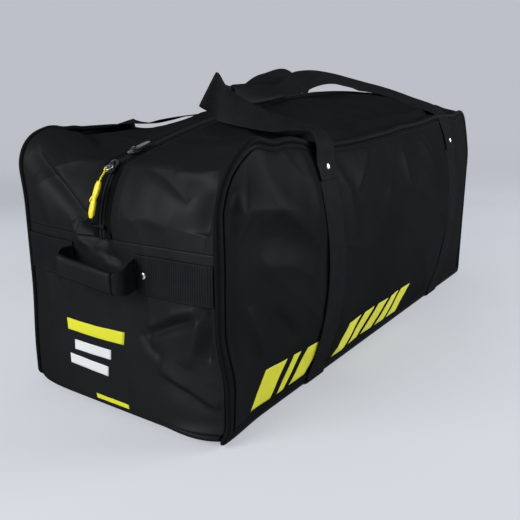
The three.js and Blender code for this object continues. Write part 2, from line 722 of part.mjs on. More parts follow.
const frontArchShares = [
  [-0.23, -0.12, 0.773, 0, 0.85, 0.52, 0.85],
  [-0.117, -0.125, 0.848, 0, 0.87, 0.49, 1],
  [0.024, -0.13, 0.884, 0, 0.88, 0.47, 1],
  [0.171, -0.132, 0.89, 0, 0.88, 0.47, 1],
  [0.327, -0.134, 0.865, 0.1, 0.86, 0.5, 1],
  [0.48, -0.15, 0.83, 0.35, 0.8, 0.48, 1],
  [0.628, -0.17, 0.78, 0.6, 0.65, 0.45, 1],
  [0.73, -0.24, 0.739, 0.8, 0.45, 0.34, 1],
  [0.802, -0.343, 0.694, 0.88, 0.3, 0.27, 1],
  [0.845, -0.457, 0.64, 0.92, 0.2, 0.23, 1],
  [0.875, -0.571, 0.581, 0.94, 0.18, 0.22, 1],
  [0.893, -0.686, 0.509, 0.95, 0.15, 0.27, 1],
  [0.915, -0.789, 0.464, 0.96, 0.13, 0.24, 1],
  [0.948, -0.886, 0.413, 0.97, 0.1, 0.2, 1],
  [0.975, -0.97, 0.343, 0.99, 0.05, 0.12, 1],
  [0.99, -1.03, 0.229, 1, 0, 0.05, 1],
  [1, -1.062, 0.093, 1, 0, 0, 1],
];
const backHandleShares = [
  [-1.03, 1.06, 0.161, 1, 0, 0.1, 1],
  [-1.08, 0.99, 0.292, 0.95, 0.15, 0.15, 1],
  [-1.09, 0.92, 0.309, 0.9, 0.3, 0.1, 1],
  [-1.064, 0.84, 0.303, 0.85, 0.45, 0.05, 1],
  [-1.012, 0.74, 0.309, 0.85, 0.45, 0.05, 1],
  [-0.959, 0.63, 0.354, 0.88, 0.35, 0.1, 1],
  [-0.914, 0.514, 0.411, 0.88, 0.3, 0.2, 1],
  [-0.86, 0.434, 0.425, 0.85, 0.45, 0.05, 1],
  [-0.776, 0.36, 0.465, 0.7, 0.65, 0.02, 1],
  [-0.642, 0.3, 0.525, 0.35, 0.9, 0, 1],
  [-0.494, 0.275, 0.59, 0.1, 0.95, 0.15, 1],
  [-0.309, 0.28, 0.695, 0, 0.88, 0.42, 1],
  [-0.166, 0.3, 0.762, 0, 0.75, 0.62, 1],
  [0.004, 0.32, 0.824, 0, 0.75, 0.62, 1],
  [0.16, 0.35, 0.875, 0, 0.75, 0.6, 1],
  [0.3, 0.38, 0.904, 0.05, 0.78, 0.55, 1],
  [0.43, 0.42, 0.887, 0.15, 0.78, 0.5, 1],
  [0.563, 0.47, 0.83, 0.35, 0.74, 0.4, 1],
  [0.72, 0.55, 0.739, 0.55, 0.65, 0.3, 1],
  [0.84, 0.67, 0.615, 0.75, 0.5, 0.2, 1],
  [0.92, 0.8, 0.49, 0.9, 0.3, 0.1, 1],
  [0.965, 0.92, 0.388, 0.97, 0.15, 0.05, 1],
  [0.99, 1, 0.292, 1, 0, 0, 1],
  [1, 1.05, 0.173, 1, 0, 0, 1],
];

function handleRow([xShare, yShare, riseShare, ...rest]) {
  return {
    centre: new THREE.Vector3(
      beltMiddle + beltHalf * xShare, halfDepth * yShare, strapTopHeight + handleRise * riseShare
    ),
    across: new THREE.Vector3(...rest.slice(0, 3)).normalize(),
    width: webbingWidth * rest[3],
  };
}

const handleAxisY = strapFace(-nearBeltReach, strapTopHeight) + hingeLift + webbingThickness / 2;
const handleRoot = (x, side) => ({
  centre: new THREE.Vector3(x, side * handleAxisY, strapTopHeight + hingeGap),
  across: new THREE.Vector3(1, 0, 0),
  width: webbingWidth,
});

// The fold: a half turn round the crease, from the front layer to the back one
function foldRows(shares) {
  const { centre, across, width } = handleRow(shares);
  const outward = new THREE.Vector3(0, 1, 0).cross(across).negate();
  return spread(-Math.PI / 2, Math.PI / 2, 4).map((angle) => ({
    centre: centre.clone().addScaledVector(outward, foldRadius * Math.cos(angle))
      .add(new THREE.Vector3(0, foldRadius * Math.sin(angle), 0)),
    across,
    width,
  }));
}

const gripStart = { ...handleRow([...gripStartShares, 1]), width: gripWebbing };
const gripAlong = new THREE.Vector3(...gripDirection).normalize();
const gripEnd = {
  centre: gripStart.centre.clone().addScaledVector(gripAlong, gripLength),
  across: new THREE.Vector3(...gripEndAcross).normalize(),
  width: gripWebbing,
};
const beforeGrip = [
  handleRoot(-nearBeltReach, -1), ...frontRisingShares.map(handleRow), ...foldRows(creaseShares),
  ...frontReturnShares.map(handleRow),
];
const frontRows = [
  ...beforeGrip, gripStart, gripEnd, ...frontArchShares.map(handleRow), handleRoot(farBeltReach, -1),
];
const frontStations = ribbonStations(frontRows);
const backStations = ribbonStations([
  handleRoot(-nearBeltReach, 1), ...backHandleShares.map(handleRow), handleRoot(farBeltReach, 1),
]);
addPiece('front_handle_webbing', ribbon(frontStations), webbingBlack);
addPiece('front_handle_grip', sleeve(
  frontStations, beforeGrip.length, beforeGrip.length + 1, gripWidth, gripThickness
), gripBlack);
addPiece('back_handle_webbing', ribbon(backStations), webbingBlack);

// End handles: the webbing fans out from its two sewn ends and passes through a grip. A row of shares gives
// the distance from the end, the place between the sewn ends, and the webbing's width.
const endRootShares = [[0.27, 0.98, 0.75], [0.667, 0.965, 1], [0.92, 0.885, 1]];
const endGripBowShare = 0.985; // of the reach, at the ends of the grip

function endFace(y, z) {
  const share = heightShare(z);
  const edgeX = endEdge.pointAt(share)[0];
  return -(edgeX + (endCentre.pointAt(share)[0] - edgeX) * crownShare(y, endPower(share)));
}

const endHingeX = endFace(endHandleSpan / 2, bandHeight) + webbingLift + webbingThickness / 2;

for (const [endName, end] of [['near', -1], ['far', 1]]) {
  const row = (reach, y, width) => ({
    centre: new THREE.Vector3(end * (endHingeX + reach), y, bandHeight), across: new THREE.Vector3(0, 0, 1), width,
  });
  const half = endHandleSpan / 2;
  const side = (sign) => [
    row(0, sign * (half - endRootGap), endRootWidth),
    ...endRootShares.map(([reach, span, width]) => row(endHandleReach * reach, sign * half * span, gripWebbing * width)),
    row(endHandleReach * endGripBowShare, (sign * endGripLength) / 2, gripWebbing),
  ];
  const front = side(-1);
  const rows = [...front, row(endHandleReach, 0, gripWebbing), ...side(1).reverse()];
  const stations = ribbonStations(rows);
  addPiece(`${endName}_end_handle_webbing`, ribbon(stations), webbingBlack);
  addPiece(`${endName}_end_handle_grip`, sleeve(
    stations, front.length - 1, front.length + 1, endGripWidth, endGripThickness
  ), gripBlack);
  for (const [sideName, sign] of [['front', -1], ['back', 1]]) {
    const y = half + rivetInset;
    const faceAt = (offY, offZ) => new THREE.Vector3(
      end * (endFace(y + offY, bandHeight + offZ) + sewnLift), sign * (y + offY), bandHeight + offZ
    );
    const sideways = faceAt(rivetRadius, 0).sub(faceAt(-rivetRadius, 0)).multiplyScalar(end * sign);
    const upward = faceAt(0, rivetRadius).sub(faceAt(0, -rivetRadius));
    addRivet(`${endName}_end_${sideName}_rivet`, faceAt(0, 0), sideways, upward);
  }
}

// Zip sliders: two plates on a thin post between the coils, and a bail on top for the pull. The slider's own
// X runs along the zip and its Z stands on the fabric.

// A flat outline in the slider's own XY, raised from one height by a thickness
function raised(outline, base, thickness) {
  const geometry = new THREE.ExtrudeGeometry(outline, { depth: thickness, bevelEnabled: false, curveSegments: arcSteps });
  geometry.translate(0, 0, base);
  return geometry;
}

function sliderPlate() {
  const half = sliderLength / 2;
  const wide = sliderWidth / 2;
  const narrow = sliderTailWidth / 2;
  const plate = new THREE.Shape();
  plate.moveTo(-half, -narrow);
  plate.lineTo(0, -wide);
  plate.quadraticCurveTo(half, -wide, half, 0);
  plate.quadraticCurveTo(half, wide, 0, wide);
  plate.lineTo(-half, narrow);
  return plate;
}

function bailGeometry() {
  const outer = bailLength / 2;
  const inner = outer - bailWall;
  const arch = new THREE.Shape();
  arch.moveTo(outer, -overrun);
  arch.lineTo(outer, 0);
  arch.absellipse(0, 0, outer, bailHeight, 0, Math.PI, false, 0);
  arch.lineTo(-outer, -overrun);
  arch.lineTo(-inner, -overrun);
  arch.lineTo(-inner, 0);
  arch.absellipse(0, 0, inner, bailHeight - bailWall, Math.PI, 0, true, 0);
  arch.lineTo(inner, -overrun);
  const geometry = raised(arch, -bailWidth / 2, bailWidth);
  geometry.rotateX(Math.PI / 2);
  geometry.translate(0, 0, plateTop);
  return geometry;
}

function sliderGeometry(underRoom) {
  const bottom = -(coilDrop + sliderClearance + underRoom + plateThickness);
  const postHeight = plateTop - bottom - 2 * overrun;
  const post = new THREE.BoxGeometry(postLength, postThickness, postHeight);
  post.translate(0, 0, bottom + overrun + postHeight / 2);
  return joined([
    raised(sliderPlate(), plateTop - plateThickness, plateThickness),
    raised(sliderPlate(), bottom, plateThickness),
    post,
    bailGeometry(),
  ]);
}

// A place on the zip's line at an angle from straight up towards the near end, on one of its two curves
function zipPlace(centreX, centreZ, radius, angle) {
  const outward = new THREE.Vector3(-Math.sin(angle), 0, Math.cos(angle));
  const place = new THREE.Vector3(centreX, 0, centreZ).addScaledVector(outward, radius);
  return { place, pin: place.clone().addScaledVector(outward, plateTop + pinHeight) };
}

const ridgeSliderAngle = nearZip.ridgeStart - (ridgeSliderGap + sliderLength / 2) / ridgeRadius;
const endSliderAngle = nearZip.arcEnd + (sliderLength / 2 - bendOverhang) / endArcRadius;
const ridgeSeat = zipPlace(crestX, ridgeCentre, ridgeRadius, ridgeSliderAngle);
const endSeat = zipPlace(endArcX, nearArcHeight, endArcRadius, endSliderAngle);

const ridgeSlider = addPiece('ridge_slider', sliderGeometry(0).rotateZ(Math.PI), blackMetal);
ridgeSlider.position.copy(ridgeSeat.place);
ridgeSlider.rotation.y = -ridgeSliderAngle;
const endSlider = addPiece('end_slider', sliderGeometry(bendClearance), blackMetal);
endSlider.position.copy(endSeat.place);
endSlider.rotation.y = -endSliderAngle;

// The ridge slider's metal tab lies along the zip, with its cross bar through the bail
function tabGeometry() {
  const bar = tabThickness / 2;
  const half = tabWidth / 2;
  const slot = tabSlotWidth / 2;
  const outline = new THREE.Shape();
  outline.moveTo(-bar, -half);
  outline.lineTo(tabLength - half, -half);
  outline.absarc(tabLength - half, 0, half, -Math.PI / 2, Math.PI / 2, false);
  outline.lineTo(-bar, half);
  const hole = new THREE.Path();
  hole.moveTo(bar, -slot);
  hole.lineTo(bar, slot);
  hole.lineTo(tabSlotLength, slot);
  hole.lineTo(tabSlotLength, -slot);
  outline.holes.push(hole);
  return raised(outline, -tabThickness / 2, tabThickness);
}

const ridgeTab = addPiece('ridge_slider_tab', tabGeometry(), silverMetal);
ridgeTab.position.copy(ridgeSeat.pin);
ridgeTab.rotation.y = -ridgeSliderAngle;

// The end slider's pull: a wire ring through the bail, a short cord with an eye round the ring, and a
// moulded grip. Each is modelled hanging straight down from its own top.

function hang(mesh, place, lean, sway = 0) {
  mesh.position.copy(place);
  mesh.rotation.set(THREE.MathUtils.degToRad(sway), THREE.MathUtils.degToRad(lean), 0, 'YXZ');
  return (drop) => new THREE.Vector3(0, 0, -drop).applyEuler(mesh.rotation).add(place);
}

function cordGeometry() {
  const eye = new THREE.TorusGeometry(eyeRadius, eyeWire, wireSides, ringSides).rotateX(Math.PI / 2);
  const length = cordLength + overrun;
  const cord = new THREE.CylinderGeometry(cordRadius, cordRadius, length, pipingSides + 2).rotateX(Math.PI / 2);
  cord.translate(0, 0, -(eyeRadius + length / 2));
  return joined([eye, cord]);
}

function pullGeometry() {
  const neck = pullNeckWidth / 2;
  const half = pullWidth / 2;
  const outline = new THREE.Shape();
  outline.moveTo(-neck, 0);
  outline.lineTo(neck, 0);
  outline.bezierCurveTo(neck, -half, half, -half, half, -pullWidth);
  outline.lineTo(half, -(pullLength - half));
  outline.absarc(0, -(pullLength - half), half, 0, -Math.PI, true);
  outline.lineTo(-half, -pullWidth);
  outline.bezierCurveTo(-half, -half, -neck, -half, -neck, 0);
  return raised(outline, -pullThickness / 2, pullThickness).rotateX(Math.PI / 2).rotateZ(Math.PI / 2);
}

const pullRing = addPiece('end_pull_ring', new THREE.TorusGeometry(
  ringRadius, ringWire, wireSides, ringSides
).rotateY(Math.PI / 2).translate(0, 0, -ringRadius), silverMetal);
const ringFoot = hang(pullRing, endSeat.pin, ringLean)(2 * ringRadius);
const pullCord = addPiece('end_pull_cord', cordGeometry(), yellowRubber);
const cordFoot = hang(pullCord, ringFoot, cordLean)(eyeRadius + cordLength + overrun + cordEndGap);
hang(addPiece('end_pull_grip', pullGeometry(), yellowRubber), cordFoot, pullLean, pullSway);

export default group;
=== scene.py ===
# Hockey equipment bag: coated black cloth, webbing belts and handles, and one long zip with two sliders.
# Every surface is worked out on a grid in metres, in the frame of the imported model.
import math
import bmesh
import bpy
import numpy as np
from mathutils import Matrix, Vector


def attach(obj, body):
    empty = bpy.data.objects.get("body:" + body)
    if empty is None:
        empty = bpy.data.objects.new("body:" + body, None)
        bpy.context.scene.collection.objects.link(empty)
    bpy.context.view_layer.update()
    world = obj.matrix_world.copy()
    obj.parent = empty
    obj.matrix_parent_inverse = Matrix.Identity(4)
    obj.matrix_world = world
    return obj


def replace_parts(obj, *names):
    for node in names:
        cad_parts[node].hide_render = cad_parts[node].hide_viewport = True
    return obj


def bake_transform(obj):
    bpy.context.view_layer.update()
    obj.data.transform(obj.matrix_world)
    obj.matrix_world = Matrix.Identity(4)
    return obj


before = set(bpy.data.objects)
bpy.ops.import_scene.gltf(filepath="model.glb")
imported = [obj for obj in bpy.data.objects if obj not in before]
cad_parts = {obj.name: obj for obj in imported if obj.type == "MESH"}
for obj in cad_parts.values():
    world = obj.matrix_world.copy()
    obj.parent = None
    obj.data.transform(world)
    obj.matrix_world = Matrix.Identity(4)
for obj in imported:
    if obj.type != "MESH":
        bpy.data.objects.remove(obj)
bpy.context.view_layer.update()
pi = math.pi

# Camera, at the photograph's viewing angle
view = {"place": (-1.0035, -0.6106, 0.4309), "yaw": 34.295, "pitch": -15.468, "lens": 44.63}
lens = bpy.data.cameras.new("camera")
lens.lens, lens.sensor_width, lens.clip_end = view["lens"], 36.0, 50.0
camera = bpy.data.objects.new("camera", lens)
camera.location = view["place"]
yaw, pitch = math.radians(view["yaw"]), math.radians(view["pitch"])
aim = Vector((math.cos(pitch) * math.cos(yaw), math.cos(pitch) * math.sin(yaw), math.sin(pitch)))
camera.rotation_euler = aim.to_track_quat("-Z", "Y").to_euler()
bpy.context.scene.collection.objects.link(camera)
bpy.context.scene.camera = camera
bpy.context.scene.view_settings.view_transform = "Standard"
print("camera set")


# Shader values: each sign between two of them adds its Math node

class Signal:
    def __init__(self, tree, socket):
        self.tree, self.socket = tree, socket

    def math(self, operation, other=None, swapped=False):
        made = self.tree.nodes.new("ShaderNodeMath")
        made.operation = operation
        for place, value in zip(made.inputs, (other, self) if swapped else (self, other)):
            if isinstance(value, Signal):
                self.tree.links.new(value.socket, place)
            elif value is not None:
                place.default_value = value
        return Signal(self.tree, made.outputs[0])

    def __add__(self, other): return self.math("ADD", other)
    def __sub__(self, other): return self.math("SUBTRACT", other)
    def __rsub__(self, other): return self.math("SUBTRACT", other, True)
    def __mul__(self, other): return self.math("MULTIPLY", other)
    def __pow__(self, other): return self.math("POWER", other)


class Finish:
    # A material: one shader, and nodes made by type, settings and sockets
    def __init__(self, name, **fixed):
        self.material = bpy.data.materials.new(name)
        self.material.use_nodes = True
        self.tree = self.material.node_tree
        self.tree.nodes.clear()
        self.shader = self.tree.nodes.new("ShaderNodeBsdfPrincipled")
        output = self.tree.nodes.new("ShaderNodeOutputMaterial")
        self.tree.links.new(self.shader.outputs[0], output.inputs["Surface"])
        for key, value in fixed.items():
            self.shader.inputs[key.replace("_", " ")].default_value = value

    def node(self, kind, settings=None, sockets=None, output=0):
        made = self.tree.nodes.new("ShaderNode" + kind)
        for key, value in (settings or {}).items():
            setattr(made, key, value)
        for key, value in (sockets or {}).items():
            if isinstance(value, Signal):
                self.tree.links.new(value.socket, made.inputs[key])
            else:
                made.inputs[key].default_value = value
        return Signal(self.tree, made.outputs[output])

    def cloth(self):
        split = self.node("SeparateXYZ", None, {0: self.node("UVMap", {"uv_map": "cloth"})})
        return split, Signal(self.tree, split.socket.node.outputs[1])

    def squareOn(self):
        # 1 where the surface is seen square on, 0 at its edges
        return 1 - self.node("LayerWeight", None, {"Blend": 0.5}, 1)

    def noise(self, scale, detail):
        place = self.node("TexCoord", output=3)
        return self.node("TexNoise", None, {"Vector": place, "Scale": scale, "Detail": detail})

    def blend(self, share, first, second):
        return self.node("Mix", {"data_type": "RGBA"}, {0: share, 6: (*first, 1), 7: (*second, 1)}, 2)

    def bump(self, height, distance, strength, under=None):
        sockets = {"Height": height, "Distance": distance, "Strength": strength}
        if under is not None:
            sockets["Normal"] = under
        return self.node("Bump", None, sockets)

    def feed(self, **links):
        for key, value in links.items():
            self.tree.links.new(value.socket, self.shader.inputs[key.replace("_", " ")])
        return self.material


def wave(signal, pitch):
    # sin(2 pi signal / pitch)
    return (signal * (2 * pi / pitch)).math("SINE")


def rows(signal, pitch):
    # The wave between 0 and 1, with one crest for each pitch
    return wave(signal, pitch) * 0.5 + 0.5


def coatedCloth(name, colour, pale, roughness, gloss, weave=0.0013):
    # Plain weave under a coating: the product of two waves, with fine creases and a little wear
    finish = Finish(name, Specular_IOR_Level=0.0, Coat_Roughness=0.5, Coat_IOR=1.5)
    across, down = finish.cloth()
    threads = wave(across, weave) * wave(down, weave)
    creases = finish.noise(26.0, 4.0)
    wear = finish.noise(5.0, 3.0)
    colours = finish.blend(wear * wear * 1.3, colour, pale)
    normal = finish.bump(creases, 0.004, 0.22)
    normal = finish.bump(threads, 0.00012, 0.7, normal)
    return finish.feed(Base_Color=colours, Roughness=wear * 0.16 + (roughness - 0.08), Normal=normal,
                       Coat_Weight=finish.squareOn() ** 4.0 * (wear * 0.4 + gloss * 1.3))


def webbingCloth(name, colour, pale, slant, pitch):
    # Webbing: ribs at a slant to its length that turn back at each third of its width
    finish = Finish(name, Specular_IOR_Level=0.0, Coat_Roughness=0.5, Coat_IOR=1.5)
    across, down = finish.cloth()
    zigzag = finish.node("Math", {"operation": "PINGPONG"}, {0: across, 1: 0.008})
    ribs = rows(down + zigzag * slant, pitch)
    yarns = rows(across, 0.0016)
    wear = finish.noise(60.0, 3.0)
    # The colour follows the rib height: painted highlight on the rib crests and painted shade in the grooves, with a
    # little random wear on top
    colours = finish.blend(ribs * ribs * 0.6 + wear * 0.3, colour, pale)
    normal = finish.bump(ribs * 0.7 + yarns * 0.3, 0.0004, 0.8)
    return finish.feed(Base_Color=colours, Roughness=wear * 0.2 + 0.5, Normal=normal,
                       Coat_Weight=finish.squareOn() ** 3.0 * 0.2)


def plainFinish(name, colour, pale, roughness, grain, **fixed):
    # One colour with a grain in its height, colour and gloss
    finish = Finish(name, **fixed)
    mottle = finish.noise(grain, 3.0)
    colours = finish.blend(mottle, colour, pale)
    normal = finish.bump(mottle, 0.0002, 0.6)
    return finish.feed(Base_Color=colours, Roughness=mottle * 0.18 + (roughness - 0.09), Normal=normal)


clothBody = coatedCloth("coated cloth", (0.0095, 0.0102, 0.0110), (0.0150, 0.0160, 0.0172), 0.6, 0.14)
clothBase = coatedCloth("base cloth", (0.0075, 0.0080, 0.0087), (0.0120, 0.0127, 0.0138), 0.65, 0.1)
clothGrip = coatedCloth("grip cloth", (0.0090, 0.0096, 0.0104), (0.0140, 0.0149, 0.0161), 0.6, 0.2, 0.0016)
webbing = webbingCloth("belt webbing", (0.0040, 0.0043, 0.0048), (0.0300, 0.0320, 0.0348), 1.0, 0.0032)
bandWebbing = webbingCloth("band webbing", (0.0045, 0.0048, 0.0053), (0.0190, 0.0202, 0.0220), 0.0, 0.0034)
welt = plainFinish("welt cloth", (0.0050, 0.0054, 0.0060), (0.0100, 0.0107, 0.0120), 0.6, 400.0, Specular_IOR_Level=0.015)
thread = plainFinish("thread", (0.014, 0.0148, 0.016), (0.026, 0.0275, 0.030), 0.7, 900.0, Specular_IOR_Level=0.1)
tapeCloth = plainFinish("zip tape", (0.0035, 0.0038, 0.0042), (0.007, 0.0076, 0.0084), 0.85, 700.0, Specular_IOR_Level=0.02)
coilNylon = plainFinish("zip coil", (0.008, 0.0086, 0.0096), (0.018, 0.0192, 0.021), 0.5, 500.0, Specular_IOR_Level=0.04)
blackMetal = plainFinish("black lacquer", (0.008, 0.008, 0.009), (0.014, 0.014, 0.0155), 0.3, 300.0, Coat_Weight=0.4)
silverMetal = plainFinish("nickel", (0.62, 0.63, 0.65), (0.75, 0.76, 0.78), 0.24, 260.0, Metallic=1.0)
yellowRubber = plainFinish("yellow rubber", (0.82, 0.66, 0.006), (0.88, 0.74, 0.01), 0.45, 500.0)
yellowPrint = plainFinish("yellow print", (0.66, 0.66, 0.004), (0.75, 0.74, 0.01), 0.5, 900.0)
whitePrint = plainFinish("white print", (0.68, 0.70, 0.71), (0.8, 0.8, 0.8), 0.5, 900.0)
print("finishes made")


# Meshes from grids

def meshPiece(name, points, corners, starts, finish):
    # points, the corners of all the faces in turn, and where each face starts among them
    mesh = bpy.data.meshes.new(name)
    mesh.vertices.add(len(points))
    mesh.vertices.foreach_set("co", points.reshape(-1).astype(np.float32))
    mesh.loops.add(len(corners))
    mesh.loops.foreach_set("vertex_index", corners.astype(np.int32))
    mesh.polygons.add(len(starts))
    mesh.polygons.foreach_set("loop_start", starts.astype(np.int32))
    mesh.update(calc_edges=True)
    mesh.shade_smooth()
    mesh.materials.append(finish)
    piece = bpy.data.objects.new(name, mesh)
    bpy.context.scene.collection.objects.link(piece)
    return piece


def attached(piece, body):
    # The piece on its body, where it has one
    if body:
        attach(piece, body)
    return piece


def gridPiece(name, grid, finish, slot, outward=None, cloth=None, closed=False, sealed=False, thickness=0.0,
              body="bag_body"):
    # grid is rows by columns of points. closed joins the last column to the first, sealed gathers both end
    # rows to their middles, and thickness gives an open grid a wall on its inner side.
    if body and body != "end_pull":
        grid = settled(grid)
    count, width = grid.shape[:2]
    if sealed:
        middles = np.broadcast_to(grid[[0, -1]].mean(1, keepdims=True), (2, width, 3))
        grid = np.concatenate([middles[:1], grid, middles[1:]])
        if cloth is not None:
            cloth = np.concatenate([cloth[:1], cloth, cloth[-1:]])
        count += 2
    index = np.arange(count * width).reshape(count, width)
    right = np.roll(index, -1, 1)
    columns = width if closed else width - 1
    quads = np.stack([index[:-1], right[:-1], right[1:], index[1:]], -1)[:, :columns].reshape(-1, 4)
    if outward is not None:
        steps = np.cross(grid[:-1, 1:] - grid[:-1, :-1], grid[1:, :-1] - grid[:-1, :-1])
        if (steps * outward[:-1, :-1]).sum() < 0:
            quads = quads[:, ::-1]
    corners = quads.reshape(-1)
    piece = meshPiece(name, grid.reshape(-1, 3), corners, np.arange(0, quads.size, 4), finish)
    if cloth is not None:
        layer = piece.data.uv_layers.new(name="cloth")
        layer.data.foreach_set("uv", cloth.reshape(-1, 2)[corners].reshape(-1).astype(np.float32))
    if closed:
        work = bmesh.new()
        work.from_mesh(piece.data)
        bmesh.ops.remove_doubles(work, verts=work.verts, dist=1e-7)
        bmesh.ops.recalc_face_normals(work, faces=work.faces)
        work.to_mesh(piece.data)
        work.free()
    if thickness:
        wall = piece.modifiers.new("wall", "SOLIDIFY")
        wall.thickness, wall.offset = thickness, -1.0
    return attached(piece, body)


def unit(vectors):
    # Each vector over its length
    return vectors / np.maximum(np.linalg.norm(vectors, axis=-1, keepdims=True), 1e-12)


def lengths(points):
    # The distance walked along a path at each of its points
    return np.concatenate([[0], np.cumsum(np.linalg.norm(np.diff(points, axis=0), axis=1))])


def resampled(points, step):
    # The same path with even steps
    walked = lengths(points)
    marks = np.linspace(0, walked[-1], max(2, int(walked[-1] / step) + 1))
    return np.stack([np.interp(marks, walked, points[:, axis]) for axis in range(points.shape[1])], 1)


def sweepPiece(name, centres, across, upward, widths, thickness, finish, slot, around=20, square=0.3, **rest):
    # A section carried along a path: centre + across * w/2 * cos^p + upward * t/2 * sin^p
    angles = np.linspace(0, 2 * pi, around, endpoint=False) + pi / around
    sideways = np.sign(np.cos(angles)) * np.abs(np.cos(angles)) ** square
    upwards = np.sign(np.sin(angles)) * np.abs(np.sin(angles)) ** square
    widths = np.broadcast_to(widths, len(centres))[:, None]
    heights = np.broadcast_to(thickness, len(centres))[:, None]
    grid = (centres[:, None] + across[:, None] * (widths * sideways / 2)[..., None]
            + upward[:, None] * (heights * upwards / 2)[..., None])
    cloth = np.stack([widths * sideways / 2, np.broadcast_to(lengths(centres)[:, None], (len(centres), around))], -1)
    return gridPiece(name, grid, finish, slot, cloth=cloth, closed=True, sealed=True, **rest)


stitch = {"step": 0.0042, "length": 0.003, "radius": 0.00035}


def stitchPiece(name, lines, body="bag_body"):
    # Stitches: short six sided beads, spaced evenly along each line of points
    turns = np.linspace(0, 2 * pi, 6, endpoint=False)
    swell = np.array([0.35, 1.0, 1.0, 0.35]) * stitch["radius"]
    along = np.array([-0.5, -0.3, 0.3, 0.5]) * stitch["length"]
    beads = []
    for line in lines:
        marks = resampled(np.asarray(line, float), stitch["step"])
        ahead = unit(np.gradient(marks, axis=0))
        other = unit(np.cross(ahead, np.array([0.31, 0.52, 0.79])))
        third = np.cross(ahead, other)
        spin = other[:, None] * np.cos(turns)[None, :, None] + third[:, None] * np.sin(turns)[None, :, None]
        beads.append(marks[:, None, None] + ahead[:, None, None] * along[None, :, None, None]
                     + spin[:, None] * swell[None, :, None, None])
    beads = settled(np.concatenate(beads))
    first = np.arange(len(beads))[:, None, None] * 24
    low = np.arange(3)[:, None] * 6 + np.arange(6)
    high = np.arange(3)[:, None] * 6 + (np.arange(6) + 1) % 6
    quads = (first[..., None] + np.stack([low, high, high + 6, low + 6], -1)[None]).reshape(-1, 4)
    caps = first[:, 0] + np.array([[0, 5, 4, 3, 2, 1], [18, 19, 20, 21, 22, 23]])[:, None].reshape(1, 12)
    corners = np.concatenate([quads.reshape(-1), caps.reshape(-1)])
    starts = np.concatenate([np.arange(0, quads.size, 4), quads.size + np.arange(0, caps.size, 6)])
    return attached(meshPiece(name, beads.reshape(-1, 3), corners, starts, thread), body)


# Shape of the bag

bag = {"halfLength": 0.45, "halfDepth": 0.175, "height": 0.369, "mouthHeight": 0.352, "halfMouth": 0.33,
       "crest": 0.4125, "crestX": 0.1445, "ridgeRadius": 2.087, "topCorner": 0.055, "bottomCorner": 0.008,
       "footLead": 0.0015, "swell": 0.038, "endSwell": 0.0115, "footSwell": 0.018, "arcRadius": 0.131,
       "nearOver": 0.01977, "farOver": 0.0088, "seamDrop": 0.0055, "shoulder": 0.02, "cloth": 0.0025,
       "piping": 0.004, "pipingFoot": 0.0065, "zipHalf": 0.0163, "seamInset": 0.0043, "nearBelt": -0.225,
       "farBelt": 0.268, "strapTop": 0.332, "web": 0.05, "webThick": 0.0018, "bandHeight": 0.203,
       "bandGap": 0.058, "foldBase": 0.007, "topPower": 1.6, "bottomPower": 6.0}
halfLength, halfDepth, lift = bag["halfLength"], bag["halfDepth"], bag["cloth"] / 2
seamY = halfDepth - bag["seamInset"]
footHeight = bag["pipingFoot"] + bag["bottomCorner"]
sagRun = halfLength - bag["topCorner"] - bag["halfMouth"]
ridgeCentre = bag["crest"] - bag["ridgeRadius"]
endArcX = -(halfLength + bag["endSwell"] - bag["arcRadius"])
bag["nearArc"], bag["farArc"] = (
    ridgeCentre + math.sqrt(bag["ridgeRadius"] ** 2 - (endArcX - ridgeX) ** 2) - bag["arcRadius"] + over
    for ridgeX, over in ((bag["crestX"], bag["nearOver"]), (-bag["crestX"], bag["farOver"])))
bag["seamHeight"] = bag["nearArc"] - bag["seamDrop"]
sides = {"front": -1, "back": 1}
belts = {"near": bag["nearBelt"], "far": bag["farBelt"]}


def hill(x, centre, width):
    # exp(-((x - centre) / width)^2)
    return np.exp(-(((x - centre) / width) ** 2))


def ease(value):
    # 3v^2 - 2v^3, between 0 and 1
    value = np.clip(value, 0, 1)
    return value * value * (3 - 2 * value)


slump = {"lean": 0.028, "draw": 0.014, "bulge": 0.009, "side": 0.006, "foot": 0.008, "sink": 0.005, "frontSink": 0.006,
         "middleX": 0.363, "middleZ": 0.282, "round": 0.087}


